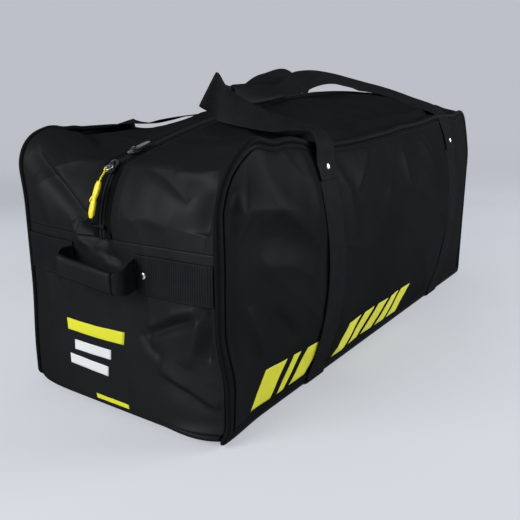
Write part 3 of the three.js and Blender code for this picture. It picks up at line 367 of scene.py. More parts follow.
def settled(points):
    # How the cloth has slumped: the far end's corners lean in at the top, the back edge of the near end is drawn in,
    # and the corner at the front bulges out over its foot. Each is a distance times eased steps.
    x, y, z = points[..., 0], points[..., 1], points[..., 2]
    lean = slump["lean"] * ease((z - 0.266) / 0.08) * ease((x - 0.32) / 0.13) * ease((np.abs(y) - 0.02) / 0.1)
    draw = slump["draw"] * ease((-x - 0.33) / 0.1) * ease((y - 0.07) / 0.1) * ease((0.40 - z) / 0.14)
    draw = draw * (0.5 + 0.5 * ease((z - 0.04) / 0.12))
    foot = ease((-x - 0.36) / 0.08) * ease((-y - 0.09) / 0.07) * ease((0.028 - z) / 0.022)
    corner = ease((-x - 0.37) / 0.07) * ease((-y - 0.11) / 0.06) * ease(z / 0.02) * ease((0.15 - z) / 0.085)
    sink = ease((-x - 0.365) / 0.05) * ease((z - 0.26) / 0.06) * (
        slump["sink"] * ease((y - 0.07) / 0.08) + slump["frontSink"] * ease((-y - 0.07) / 0.08))
    # The upper corner at the front is rounder: its points are drawn in towards a middle, by the way that they lie
    aside, up = np.clip(-x - slump["middleX"], 1e-6, None), np.clip(z - slump["middleZ"], 1e-6, None)
    sine, cosine = up / np.hypot(aside, up), aside / np.hypot(aside, up)
    size, inner = slump["round"], slump["round"] - bag["topCorner"]
    both = sine + cosine
    curved = inner * both + np.sqrt(np.maximum((inner * both) ** 2 - 2 * inner ** 2 + bag["topCorner"] ** 2, 0))
    reach = np.where(np.minimum(sine, cosine) / np.maximum(sine, cosine) < inner / size,
                     size / np.maximum(sine, cosine), curved)
    pull = (1 - size / reach) * ease((-y - 0.04) / 0.11)
    moved = [x - lean + slump["bulge"] * corner - slump["foot"] * foot + pull * aside,
             y - draw - slump["side"] * corner - slump["foot"] / 2 * foot, z - sink - pull * up]
    return np.stack(moved, -1)


def plainTop(x):
    # Height of the top piping before it wanders: it falls from the corners to the mouth in one eased step
    step = np.clip((np.abs(x) - bag["halfMouth"]) / sagRun, 0, 1)
    return bag["mouthHeight"] + (bag["height"] - bag["mouthHeight"]) * step * step * (3 - 2 * step)


def backDip(x):
    # The sag of the back piping at its middle
    return 0.004 * hill(x, 0.05, 0.18)


def topLine(x, side):
    # The plain line, with a hill or a dip where the soft cloth stands up or sags
    front = (-0.0075 * hill(x, -0.15, 0.13) + 0.010 * hill(x, 0.25, 0.085) + 0.010 * hill(x, -0.305, 0.055)
             + (0.0035 * ease(x / 0.06) + 0.005 * hill(x, 0.345, 0.04)) * ease((0.393 - x) / 0.045))
    back = 0.010 * ease((x + 0.375) / 0.035) * ease((-0.19 - x) / 0.08) - backDip(x)
    return plainTop(x) + (front if side < 0 else back)


def arc(centreX, centreZ, radiusX, radiusZ, start, end, steps=28):
    # Points on an ellipse between two angles
    angles = np.linspace(start, end, steps + 1)
    return np.stack([centreX + radiusX * np.cos(angles), centreZ + radiusZ * np.sin(angles)], 1)


def zipLine(ridgeX, arcHeight):
    # Centre line of the zip at an end on the left: up the end, round the shoulder and along the ridge
    near, small = np.array([endArcX, arcHeight]), bag["shoulder"]
    ridge = np.array([ridgeX, ridgeCentre])
    first, second = bag["arcRadius"] - small, bag["ridgeRadius"] - small
    gap = ridge - near
    apart = np.hypot(*gap)
    reach = (apart ** 2 + first ** 2 - second ** 2) / (2 * apart)
    rise = math.sqrt(first ** 2 - reach ** 2)
    ahead = gap / apart
    bend = near + ahead * reach + np.array([ahead[1], -ahead[0]]) * rise
    arcEnd = math.atan2(near[0] - bend[0], bend[1] - near[1])
    ridgeStart = math.atan2(ridge[0] - bend[0], bend[1] - ridge[1])
    mouthEnd = math.asin((bag["halfMouth"] + ridgeX) / bag["ridgeRadius"])
    path = np.concatenate([
        [[-(halfLength + bag["endSwell"]), bag["seamHeight"]]],
        arc(*near, bag["arcRadius"], bag["arcRadius"], pi, pi / 2 + arcEnd),
        arc(*bend, small, small, pi / 2 + arcEnd, pi / 2 + ridgeStart)[1:],
        arc(*ridge, bag["ridgeRadius"], bag["ridgeRadius"], pi / 2 + ridgeStart, pi / 2 + mouthEnd)[1:],
    ])
    return path, mouthEnd


nearLine, nearMouth = zipLine(bag["crestX"], bag["nearArc"])
farLine, farMouth = zipLine(-bag["crestX"], bag["farArc"])


def walk(path, shares):
    # Points at shares of a path's length, with outward normals
    walked = lengths(path)
    walked = walked / walked[-1]

    def at(values):
        values = np.clip(values, 0, 1)
        return np.stack([np.interp(values, walked, path[:, axis]) for axis in (0, 1)], -1)

    ahead = at(shares + 0.01) - at(shares - 0.01)
    return at(shares), unit(np.stack([-ahead[..., 1], ahead[..., 0]], -1))


def creaseDepth(first, second, creases):
    # Sum of creases: depth * exp(-(distance / width)^1.5), with a width for each side of the crease's line, fading
    # out towards both its ends
    total = np.zeros_like(first)
    for points, leftWidth, rightWidth, depth in creases:
        points = np.array(points)
        walked = lengths(points)
        nearest = np.full(first.shape, 9.0)
        share, turn = np.zeros_like(first), np.zeros_like(first)
        for index in range(len(points) - 1):
            start, gap = points[index], points[index + 1] - points[index]
            part = np.clip(((first - start[0]) * gap[0] + (second - start[1]) * gap[1]) / (gap @ gap), 0, 1)
            away = np.hypot(first - start[0] - part * gap[0], second - start[1] - part * gap[1])
            closer = away < nearest
            nearest = np.where(closer, away, nearest)
            turn = np.where(closer, gap[0] * (second - start[1]) - gap[1] * (first - start[0]), turn)
            share = np.where(closer, (walked[index] + part * np.hypot(*gap)) / walked[-1], share)
        fade = np.clip(4 * share * (1 - share), 0, 1) ** 0.5 * 0.85 + 0.15
        total += depth * np.exp(-((nearest / np.where(turn > 0, leftWidth, rightWidth)) ** 1.5)) * fade
    return total


def ripple(points, scale, seed):
    # Smooth unevenness: a few waves in set directions
    chance = np.random.default_rng(seed)
    total = np.zeros(points.shape[:-1])
    for _ in range(8):
        way = unit(chance.normal(size=3)) * (2 * pi / scale) * chance.uniform(0.6, 1.5)
        total += np.sin(points @ way + chance.uniform(0, 2 * pi))
    return total / math.sqrt(8)


def softness(points, seed):
    # The cloth's own unevenness, with soft ridges where two swells meet
    return (0.0012 * ripple(points, 0.15, seed) + 0.0004 * ripple(points, 0.05, seed + 1)
            + 0.0016 * np.exp(-6 * np.abs(ripple(points, 0.24, seed + 2))))


# Creases: points along each line, the widths to its left and right, and how far it stands out or in
frontCreases = [
    ([(-0.412, 0.285), (-0.352, 0.275), (-0.286, 0.228)], 0.045, 0.016, 0.010),
    ([(-0.403, 0.244), (-0.349, 0.240), (-0.279, 0.200)], 0.012, 0.030, -0.0025),
    ([(-0.284, 0.340), (-0.270, 0.289), (-0.278, 0.213)], 0.010, 0.014, 0.0045),
    ([(-0.421, 0.308), (-0.413, 0.266), (-0.430, 0.242)], 0.008, 0.010, 0.004),
    ([(-0.425, 0.320), (-0.432, 0.242), (-0.428, 0.150), (-0.432, 0.05)], 0.007, 0.012, -0.006),
    ([(-0.411, 0.162), (-0.399, 0.128), (-0.382, 0.091)], 0.012, 0.008, 0.006),
    ([(-0.366, 0.145), (-0.334, 0.120), (-0.311, 0.090)], 0.010, 0.022, -0.006),
    ([(-0.404, 0.214), (-0.322, 0.196), (-0.279, 0.168)], 0.018, 0.012, 0.0035),
    ([(-0.088, 0.324), (-0.127, 0.293), (-0.149, 0.273)], 0.005, 0.010, 0.0035),
    ([(0.042, 0.313), (0.042, 0.268), (0.051, 0.247)], 0.006, 0.012, 0.0035),
    ([(-0.051, 0.261), (0.001, 0.209), (0.06, 0.17)], 0.03, 0.02, 0.003),
    ([(-0.206, 0.325), (-0.176, 0.274), (-0.166, 0.210)], 0.010, 0.014, 0.004),
    ([(0.12, 0.335), (0.16, 0.29), (0.17, 0.25)], 0.012, 0.018, 0.003),
    ([(0.33, 0.31), (0.36, 0.25), (0.35, 0.18)], 0.014, 0.022, 0.004),
]
endCreases = [
    ([(0.154, 0.343), (0.123, 0.320), (0.086, 0.294), (0.046, 0.266), (0.016, 0.245), (-0.011, 0.225)],
     0.012, 0.005, -0.013),
    ([(0.130, 0.337), (0.092, 0.311), (0.057, 0.286), (0.019, 0.260)], 0.008, 0.016, 0.006),
    ([(0.136, 0.358), (0.106, 0.342), (0.091, 0.326)], 0.006, 0.010, -0.007),
    ([(0.150, 0.300), (0.125, 0.270), (0.100, 0.235)], 0.020, 0.020, 0.004),
    ([(0.038, 0.251), (0.013, 0.244), (-0.017, 0.232)], 0.005, 0.012, -0.009),
    ([(0.059, 0.246), (0.040, 0.226), (-0.010, 0.211)], 0.006, 0.009, 0.006),
    ([(0.037, 0.227), (0.012, 0.217), (-0.034, 0.206)], 0.005, 0.009, -0.006),
    ([(-0.051, 0.327), (-0.095, 0.315), (-0.132, 0.296)], 0.007, 0.014, -0.004),
    ([(-0.099, 0.328), (-0.131, 0.335), (-0.165, 0.343)], 0.006, 0.010, 0.0045),
    ([(-0.036, 0.258), (-0.073, 0.266), (-0.110, 0.260)], 0.010, 0.014, 0.003),
    ([(-0.163, 0.340), (-0.164, 0.311), (-0.163, 0.284), (-0.160, 0.255)], 0.018, 0.004, -0.014),
    ([(-0.149, 0.165), (-0.113, 0.154), (-0.071, 0.129)], 0.006, 0.014, 0.006),
    ([(-0.144, 0.151), (-0.108, 0.136), (-0.068, 0.117)], 0.012, 0.006, -0.009),
    ([(-0.060, 0.122), (-0.076, 0.103), (-0.098, 0.095)], 0.007, 0.010, -0.004),
    ([(-0.163, 0.170), (-0.163, 0.138), (-0.156, 0.101)], 0.014, 0.004, -0.011),
    ([(-0.150, 0.150), (-0.144, 0.120), (-0.130, 0.090)], 0.008, 0.008, 0.006),
    ([(-0.093, 0.082), (-0.133, 0.065), (-0.166, 0.040)], 0.006, 0.012, 0.006),
    ([(-0.100, 0.068), (-0.133, 0.052), (-0.156, 0.032)], 0.010, 0.006, -0.005),
    ([(0.129, 0.213), (0.129, 0.169), (0.120, 0.127)], 0.020, 0.012, 0.003),
    ([(0.100, 0.160), (0.130, 0.120), (0.150, 0.070)], 0.014, 0.014, 0.004),
]
topCreases = [
    ([(-0.30, -0.158), (-0.2, -0.160), (-0.078, -0.158)], 0.006, 0.006, -0.005),
    ([(-0.30, -0.147), (-0.2, -0.148), (-0.085, -0.147)], 0.009, 0.009, 0.005),
    ([(-0.070, -0.158), (0.1, -0.160), (0.30, -0.158)], 0.006, 0.006, -0.005),
    ([(-0.070, -0.147), (0.1, -0.148), (0.32, -0.147)], 0.010, 0.010, 0.0055),
    ([(-0.02, -0.150), (-0.05, -0.12), (-0.10, -0.07)], 0.010, 0.016, 0.005),
    ([(0.05, -0.150), (0.0, -0.11), (-0.03, -0.05)], 0.010, 0.018, 0.0045),
    ([(0.16, -0.145), (0.13, -0.10), (0.14, -0.05)], 0.012, 0.020, -0.004),
    ([(-0.30, -0.12), (-0.26, -0.08), (-0.20, -0.05)], 0.012, 0.020, 0.004),
    ([(-0.36, -0.13), (-0.33, -0.09), (-0.31, -0.04)], 0.012, 0.020, 0.005),
    ([(-0.2, 0.14), (-0.1, 0.1), (0.05, 0.07)], 0.012, 0.022, 0.004),
    ([(0.1, 0.14), (0.2, 0.1), (0.3, 0.07)], 0.014, 0.022, -0.004),
    ([(-0.40, 0.06), (-0.37, 0.10), (-0.35, 0.15)], 0.008, 0.014, -0.005),
    ([(-0.27, 0.13), (-0.21, 0.10), (-0.15, 0.07)], 0.05, 0.05, -0.006),
]


def bandFolds(points, normals):
    # Folds of the cloth between the pipings. They come to nothing at the piping and at the feet.
    x, y, z = points[..., 0], points[..., 1], points[..., 2]
    turned = np.where(x < 0, y, -y * 0.95)
    onEnd = normals[..., 0] ** 2 * np.clip((z - 0.03) / 0.02, 0, 1)
    onTop = normals[..., 2] ** 2 * (z > 0.2)
    depth = onEnd * creaseDepth(turned, z - bag["foldBase"], endCreases) + onTop * creaseDepth(x, y, topCreases)
    depth += softness(points, 3) * np.clip((z - 0.04) / 0.05, 0, 1)
    edge = np.clip((seamY - np.abs(y)) / 0.009, 0, 1)
    zipFade = np.clip((np.abs(y) - 0.010) / 0.02, 0, 1) * (z > bag["seamHeight"] + 0.012) + (z <= bag["seamHeight"] + 0.012)
    return depth * edge * edge * (3 - 2 * edge) * zipFade


def bandSheet(edge, centre, shares, ys, power=None, mirror=False, height=0.0, folded=True):
    # mix of the edge and centre profiles by crown(y) = 1 - ((|y| - z) / (s - z))^power, moved along the normal.
    # On the ends the power goes from the top's at the seam to the bottom's at the foot.
    shares, ys = np.asarray(shares, float), np.asarray(ys, float)
    if power is None:
        foot = (1 - shares) ** 2 if edge is endEdge else 0 * shares
        power = bag["topPower"] + (bag["bottomPower"] - bag["topPower"]) * foot
    power = np.broadcast_to(power, shares.shape)[:, None]
    edgePoint, edgeNormal = walk(edge, shares)
    centrePoint, centreNormal = walk(centre, shares)
    crown = 1 - (np.clip(np.abs(ys) - bag["zipHalf"], 0, None) / (seamY - bag["zipHalf"]))[None] ** power
    crown = np.clip(crown, -0.05, 1)[..., None]
    flat = edgePoint[:, None] * (1 - crown) + centrePoint[:, None] * crown
    way = unit(edgeNormal[:, None] * (1 - crown) + centreNormal[:, None] * crown)
    if mirror:
        flat = flat * [-1, 1]
        way = way * [-1, 1]
    wide = np.broadcast_to(ys[None, :], flat.shape[:2])
    x, z = flat[..., 0], flat[..., 1]
    onTop = np.clip((z - 0.30) / 0.03, 0, 1)
    # The cloth moves with the piping of its own side, less the rise near the back's end, on both sides
    wander = np.where(wide < 0, topLine(x, -1), topLine(x, 1)) - topLine(x, 1) - backDip(x)
    z = z + wander * onTop * (1 - crown[..., 0])
    points = np.stack([x, wide, z], -1)
    normals = np.stack([way[..., 0], np.zeros_like(x), way[..., 1]], -1)
    moved = np.asarray(height, float) + (bandFolds(points, normals) if folded else 0)
    if np.ndim(moved) < 2:
        moved = np.broadcast_to(moved, x.shape)
    cloth = np.stack([wide, np.broadcast_to((shares * lengths(centre)[-1])[:, None], x.shape)], -1)
    return points + normals * moved[..., None], normals, cloth


sag = np.linspace(-halfLength + bag["topCorner"], -bag["halfMouth"], 12)
topEdge = np.concatenate([
    [[-halfLength - lift, bag["seamHeight"]]],
    arc(-halfLength + bag["topCorner"], bag["height"] - bag["topCorner"], bag["topCorner"] + lift,
        bag["topCorner"] + lift, pi, pi / 2),
    np.stack([sag, plainTop(sag) + lift], 1)[1:],
])
endEdge = np.array([[-halfLength - lift, footHeight], [-halfLength - lift, bag["seamHeight"]]])
endCentre = np.array([[-halfLength - lift - bag["footSwell"], footHeight],
                      [-halfLength - bag["endSwell"], bag["seamHeight"]]])
mouthEdge = np.array([[-bag["halfMouth"], bag["mouthHeight"] + lift], [bag["halfMouth"], bag["mouthHeight"] + lift]])
ridgeAngles = np.linspace(-nearMouth, farMouth, 60)
mouthCentre = np.stack([bag["crestX"] + bag["ridgeRadius"] * np.sin(ridgeAngles),
                        ridgeCentre + bag["ridgeRadius"] * np.cos(ridgeAngles)], 1)


def bottomPath(swell, base):
    # Along the bottom from the far foot to the near one: a bend, the flat and a bend
    reach, bend = bag["bottomCorner"] + lift + swell, footHeight - bag["footLead"]
    corner = halfLength - bag["bottomCorner"]
    return np.concatenate([[[corner + reach, footHeight]], arc(corner, bend, reach, bend - base, 0, -pi / 2),
                           arc(-corner, bend, reach, bend - base, -pi / 2, -pi), [[-corner - reach, footHeight]]])


def sideFace(x, z, side):
    # A long panel's swell: 4s(1 - s) up its height, times 1 - (x / half length)^4
    share = (z - bag["pipingFoot"]) / (topLine(x, side) - bag["pipingFoot"])
    return halfDepth + lift + bag["swell"] * np.maximum(4 * share * (1 - share), 0) * (1 - (x / halfLength) ** 4)


def sideFolds(x, z, side):
    # Folds of a long panel: none at the piping, and calm under the belts
    points = np.stack([x, np.full_like(x, side * 0.2), z], -1)
    depth = creaseDepth(x if side < 0 else -x * 0.97, z - bag["foldBase"], frontCreases) + softness(points, 11)
    edge = np.minimum(np.minimum(halfLength - np.abs(x), z - bag["pipingFoot"]), topLine(x, side) - z) / 0.018
    edge = np.clip(edge, 0, 1)
    belt = np.maximum(hill(x, bag["nearBelt"], 0.034), hill(x, bag["farBelt"], 0.034))
    return depth * edge * edge * (3 - 2 * edge) * (1 - 0.85 * belt) - 0.0008 * belt * edge


def onPanel(x, z, side, height):
    # How far a thing that lies on a long panel stands from the bag's middle
    return sideFace(x, z, side) + sideFolds(x, z, side) + height


def sidePoints(x, z, side, height=0.0):
    return np.stack([x, side * onPanel(x, z, side, height), z], -1)


# Long panels

for name, side in sides.items():
    inset, low, high = 0.003, bag["pipingFoot"] + 0.003, bag["height"] - 0.003
    lowRadius, highRadius = max(bag["bottomCorner"] - inset, 0.003), bag["topCorner"] - inset
    heights = np.linspace(low, high, 130)
    reach = np.full_like(heights, halfLength - inset)
    drop = np.clip((low + lowRadius - heights) / lowRadius, 0, 1)
    reach -= lowRadius * (1 - np.sqrt(1 - drop ** 2))
    rise = np.clip((heights - high + highRadius) / highRadius, 0, 1)
    reach -= highRadius * (1 - np.sqrt(1 - rise ** 2))
    x = np.linspace(-1, 1, 330)[None, :] * reach[:, None]
    top = topLine(x, side) - inset
    z = low + (heights[:, None] - low) * (top - low) / (high - low)
    points = sidePoints(x, z, side)
    outward = np.zeros_like(points)
    outward[..., 1] = side
    panel = gridPiece(f"{name}PanelCloth", points, clothBody, "coated_fabric", outward=outward,
                      cloth=np.stack([x, z], -1), thickness=bag["cloth"] * 0.8)
    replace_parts(panel, f"{name}_panel")
print("long panels made")


# Piping: a covered cord round each long panel, and a second bead where the welt is stitched down

def pipingLine(side, inset=0.0):
    # Round the long panel: its four corners and the points between them
    corner, foot = bag["topCorner"] - inset, max(bag["bottomCorner"] - inset, 0.003)
    footX, footZ = halfLength - inset - foot, bag["pipingFoot"] + inset + foot
    topX, topZ = halfLength - bag["topCorner"], bag["height"] - bag["topCorner"]
    left, upright = np.linspace(-topX, topX, 140), np.linspace(footZ, topZ, 60)[1:-1]
    wall, floor = np.full(58, halfLength - inset), np.full(98, footZ - foot)
    return np.concatenate([
        arc(-topX, topZ, corner, corner, pi, pi / 2),
        np.stack([left, topLine(left, side) - inset], 1)[1:-1],
        arc(topX, topZ, corner, corner, pi / 2, 0),
        np.stack([wall, upright[::-1]], 1),
        arc(footX, footZ, foot, foot, 0, -pi / 2),
        np.stack([np.linspace(footX, -footX, 100)[1:-1], floor], 1),
        arc(-footX, footZ, foot, foot, -pi / 2, -pi),
        np.stack([-wall, upright], 1),
    ])


def tubeRound(path, depths, radius):
    # A ring of circles about a closed path in the long panel's plane
    ahead = np.roll(path, -1, 0) - np.roll(path, 1, 0)
    normal = unit(np.stack([-ahead[:, 1], ahead[:, 0]], 1))
    angles = np.linspace(0, 2 * pi, 12, endpoint=False)
    grid = np.empty((len(path) + 1, 12, 3))
    ring = np.arange(len(path) + 1) % len(path)
    out = radius * np.cos(angles)[None, :]
    grid[..., 0] = path[ring, 0][:, None] + normal[ring, 0][:, None] * out
    grid[..., 2] = path[ring, 1][:, None] + normal[ring, 1][:, None] * out
    grid[..., 1] = depths[ring][:, None] + radius * np.sin(angles)[None, :]
    return grid, np.stack(np.broadcast_arrays(radius * angles, lengths(path[ring])[:, None]), -1)


bead = {"inset": 0.0095, "radius": 0.0013, "rise": 0.0004}
for name, side in sides.items():
    path = pipingLine(side)
    grid, cloth = tubeRound(path, np.full(len(path), side * halfDepth), bag["piping"])
    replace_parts(gridPiece(f"{name}PipingCord", grid, welt, "piping", cloth=cloth, closed=True), f"{name}_piping")
    inner = pipingLine(side, bead["inset"])
    grid, cloth = tubeRound(inner, side * onPanel(inner[:, 0], inner[:, 1], side, bead["rise"]), bead["radius"])
    gridPiece(f"{name}WeltBead", grid, welt, "piping", cloth=cloth, closed=True)
print("piping made")


# Bottom, ends and the fixed parts of the top

bottomShares = np.linspace(0, 1, 220)
edgeBottom = bottomPath(0, bag["pipingFoot"] - lift)
centreBottom = bottomPath(bag["footSwell"], bag["webThick"] + 0.0003)
ys = np.clip(np.linspace(-seamY - 0.001, seamY + 0.001, 60), -seamY, seamY)
points, normals, cloth = bandSheet(edgeBottom, centreBottom, bottomShares, ys, bag["bottomPower"], folded=False)
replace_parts(gridPiece("baseCloth", points, clothBase, "dark_fabric", outward=normals, cloth=cloth,
                      thickness=bag["cloth"] * 0.9), "bottom_panel")

ends = {"near": (nearLine, False), "far": (farLine, True)}
tapes = {"inner": 0.0055, "outer": 0.0160, "drop": -0.0002, "coilIn": 0.0006, "coilOut": 0.0052, "rise": 0.0014,
         "pitch": 0.0030}
zipRows = (0.0030, 0.0095)


def stitchLine(edge, centre, shares, ys, mirror, height=0.0002):
    # Points just over the cloth between the pipings
    return bandSheet(edge, centre, shares, ys, mirror=mirror, height=height)[0]


def zipParts(name, edge, centre, start, end, side, mirror, body):
    # Tape, toothed coil and the two rows of stitches beside them, on one side of the zip
    total = lengths(centre)[-1]
    shares = np.linspace(start, end, 120)
    points, normals, cloth = bandSheet(edge, centre, shares, side * np.linspace(tapes["inner"], tapes["outer"], 4),
                                       mirror=mirror, height=tapes["drop"], folded=False)
    tape = gridPiece(f"{name}TapeCloth", points, tapeCloth, "zip_tape", outward=normals, cloth=cloth, thickness=0.001,
                     body=body)
    marks = np.linspace(start, end, int(total * (end - start) / 0.0005))
    across = np.linspace(0, 1, 9)
    teeth = 0.5 + 0.5 * np.cos(marks * total * 2 * pi / tapes["pitch"])
    shape = np.sin(pi * across) ** 0.5
    height = tapes["rise"] * (shape[None, :] * (0.35 + 0.65 * teeth[:, None])) - 0.0004
    columns = side * (tapes["coilIn"] + (tapes["coilOut"] - tapes["coilIn"]) * across)
    points, normals, cloth = bandSheet(edge, centre, marks, columns, mirror=mirror, height=height, folded=False)
    coil = gridPiece(f"{name}CoilTeeth", points, coilNylon, "zip_coil", outward=normals, cloth=cloth, thickness=0.0016,
                     body=body)
    lines = []
    for away in zipRows:
        lines.append(stitchLine(edge, centre, shares, [side * (bag["zipHalf"] + away)], mirror)[:, 0])
    return tape, coil, lines


for name, (line, mirror) in ends.items():
    points, normals, cloth = bandSheet(endEdge, endCentre, np.linspace(0.0008, 0.9992, 110),
                                       np.linspace(-seamY, seamY, 190), mirror=mirror)
    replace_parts(gridPiece(f"{name}EndCloth", points, clothBody, "coated_fabric", outward=normals, cloth=cloth,
                          thickness=bag["cloth"] * 0.9), f"{name}_end_panel")
    stitches = []
    for sideName, side in sides.items():
        points, normals, cloth = bandSheet(topEdge, line, np.linspace(0.0006, 0.9994, 200),
                                           side * np.linspace(bag["zipHalf"], seamY, 90), mirror=mirror)
        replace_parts(gridPiece(f"{name}Top{sideName}Cloth", points, clothBody, "coated_fabric", outward=normals,
                              cloth=cloth, thickness=bag["cloth"] * 0.9), f"{name}_end_top_{sideName}")
        tape, coil, lines = zipParts(f"{name}Zip{sideName}", topEdge, line, 0.0006, 0.9994, side, mirror, "bag_body")
        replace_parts(tape, f"{name}_zip_tape_{sideName}")
        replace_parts(coil, f"{name}_zip_coil_{sideName}")
        stitches += lines
    for edge, centre, row, left, right, count in (
            (endEdge, endCentre, 0.9885, -0.165, 0.165, 120), (endEdge, endCentre, 0.9685, -0.165, 0.165, 120),
            (topEdge, line, 0.016, -0.165, -0.045, 60), (topEdge, line, 0.016, 0.05, 0.165, 60)):
        stitches.append(stitchLine(edge, centre, [row], np.linspace(left, right, count), mirror)[0])
    stitchPiece(f"{name}EndStitches", stitches)
print("ends made")

for sideName, side in sides.items():
    points, normals, cloth = bandSheet(mouthEdge, mouthCentre, np.linspace(0.0003, 0.9997, 330),
                                       side * np.linspace(bag["zipHalf"], seamY, 90))
    flap = gridPiece(f"{sideName}FlapCloth", points, clothBody, "coated_fabric", outward=normals, cloth=cloth,
                     thickness=bag["cloth"] * 0.9, body=None)
    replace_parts(flap, f"{sideName}_flap")
    side * 0.172
    side * 0.152
    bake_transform(flap)
    tape, coil, lines = zipParts(f"{sideName}FlapZip", mouthEdge, mouthCentre, 0.0003, 0.9997, side, False,
                                 f"{sideName}_flap")
    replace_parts(tape, f"{sideName}_flap_zip_tape")
    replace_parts(coil, f"{sideName}_flap_zip_coil")
    stitchPiece(f"{sideName}FlapStitches", lines, body=f"{sideName}_flap")
print("top flaps made")


# Fabric tab over the lower end of the zip: a small hood that stands a little open

hood = {"left": 0.044, "right": -0.008, "rise": 0.016, "over": 0.0031, "open": 0.0042}
for name, (line, mirror) in ends.items():
    shares = np.linspace(0.0004, hood["rise"] / lengths(line)[-1], 16)
    ys = np.linspace(hood["right"], hood["left"], 40)
    raised = hood["over"] + hood["open"] * np.linspace(0, 1, 16)[:, None] ** 1.5 * hill(ys, 0.012, 0.018)[None, :]
    points, normals, cloth = bandSheet(topEdge, line, shares, ys, mirror=mirror, height=raised)
    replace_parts(gridPiece(f"{name}ZipHood", points, clothBase, "dark_fabric", outward=normals, cloth=cloth,
                          thickness=0.0012), f"{name}_zip_end_tab")


# Belts: webbing down each long panel and in under the bag, with a row of stitches along both edges

belt = {"gap": 0.00045, "stitches": 0.0215}


def beltPath(x):
    # Down the front panel, round its foot and under the bag, and the same on the back
    bend = bag["piping"] + 0.0007 + bag["webThick"] / 2
    z = np.linspace(bag["strapTop"], bag["pipingFoot"] + 0.004, 90)
    halves = []
    for side in (-1, 1):
        y = onPanel(np.full_like(z, x), z, side, belt["gap"] + bag["webThick"] / 2)
        down = np.stack([side * np.maximum(y, halfDepth + bend), z], 1)
        turn = arc(halfDepth, bag["pipingFoot"], bend, bend, 0, -pi / 2, 10) * [side, 1]
        halves.append(np.concatenate([down, turn]))
    return np.concatenate([halves[0], halves[1][::-1]])


def frontToBack(x):
    # Even steps along the belt, and the way its face looks
    flat = resampled(beltPath(x), 0.004)
    ahead = unit(np.gradient(flat, axis=0))
    centres = np.stack([np.full(len(flat), x), flat[:, 0], flat[:, 1]], 1)
    upward = np.stack([np.zeros(len(flat)), ahead[:, 1], -ahead[:, 0]], 1)
    return centres, upward


for name, x in belts.items():
    centres, upward = frontToBack(x)
    across = np.tile([1.0, 0, 0], (len(centres), 1))
    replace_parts(sweepPiece(f"{name}BeltWebbing", centres, across, upward, bag["web"], bag["webThick"], webbing,
                           "webbing"), f"{name}_belt")
    shown = centres[:, 2] > 0.02
    lines = []
    for part in (slice(0, len(centres) // 2), slice(len(centres) // 2, None)):
        keep = shown[part]
        for away in (-belt["stitches"], belt["stitches"]):
            lines.append((centres[part] + upward[part] * 0.0010)[keep] + [away, 0, 0])
    stitchPiece(f"{name}BeltStitches", lines)
print("belts made")


# Carry handles: rows of place by half the distance between the belts, half the depth and the rise over the
# straps, then the way that the width lies, and the width

handle = {"middle": 0.0215, "half": 0.2465, "rise": 0.120, "lap": 0.0011, "grip": 0.126, "fold": 0.0026}
frontRise = [
    (-1.005, -1.06, 0.173, 1, 0.05, 0, 1), (-1, -0.995, 0.286, 0.97, 0.2, 0, 1), (-1, -0.89, 0.326, 0.9, 0.42, 0.1, 1),
    (-1.02, -0.777, 0.349, 0.82, 0.5, 0.25, 1), (-1.073, -0.674, 0.366, 0.78, 0.46, 0.42, 1),
    (-1.109, -0.503, 0.433, 0.72, 0.35, 0.6, 1), (-1.117, -0.343, 0.497, 0.62, 0.2, 0.75, 1),
    (-1.138, -0.217, 0.578, 0.45, -0.05, 0.88, 1),
]
crease = (-1.15, -0.103, 0.729, 0.655, 0, 0.756, 1.19)
frontReturn = [(-1.082, -0.092, 0.66, 0.4, 0.05, 0.9, 1), (-1.012, -0.1, 0.651, 0.2, 0.15, 0.95, 0.75)]
gripStart = (-0.939, -0.109, 0.648, 0.1, 0.2, 0.97, 0.6)
frontArch = [
    (-0.23, -0.12, 0.773, 0, 0.85, 0.52, 0.85), (-0.117, -0.125, 0.848, 0, 0.87, 0.49, 1),
    (0.024, -0.13, 0.884, 0, 0.88, 0.47, 1), (0.171, -0.132, 0.89, 0, 0.88, 0.47, 1),
    (0.327, -0.134, 0.865, 0.1, 0.86, 0.5, 1), (0.48, -0.15, 0.83, 0.35, 0.8, 0.48, 1),
    (0.628, -0.17, 0.78, 0.6, 0.65, 0.45, 1), (0.73, -0.24, 0.739, 0.8, 0.45, 0.34, 1),
    (0.802, -0.343, 0.694, 0.88, 0.3, 0.27, 1), (0.845, -0.457, 0.64, 0.92, 0.2, 0.23, 1),
    (0.875, -0.571, 0.581, 0.94, 0.18, 0.22, 1), (0.893, -0.686, 0.509, 0.95, 0.15, 0.27, 1),
    (0.915, -0.789, 0.464, 0.96, 0.13, 0.24, 1), (0.948, -0.886, 0.413, 0.97, 0.1, 0.2, 1),
    (0.975, -0.97, 0.343, 0.99, 0.05, 0.12, 1), (0.99, -1.03, 0.229, 1, 0, 0.05, 1), (1, -1.062, 0.093, 1, 0, 0, 1),
]
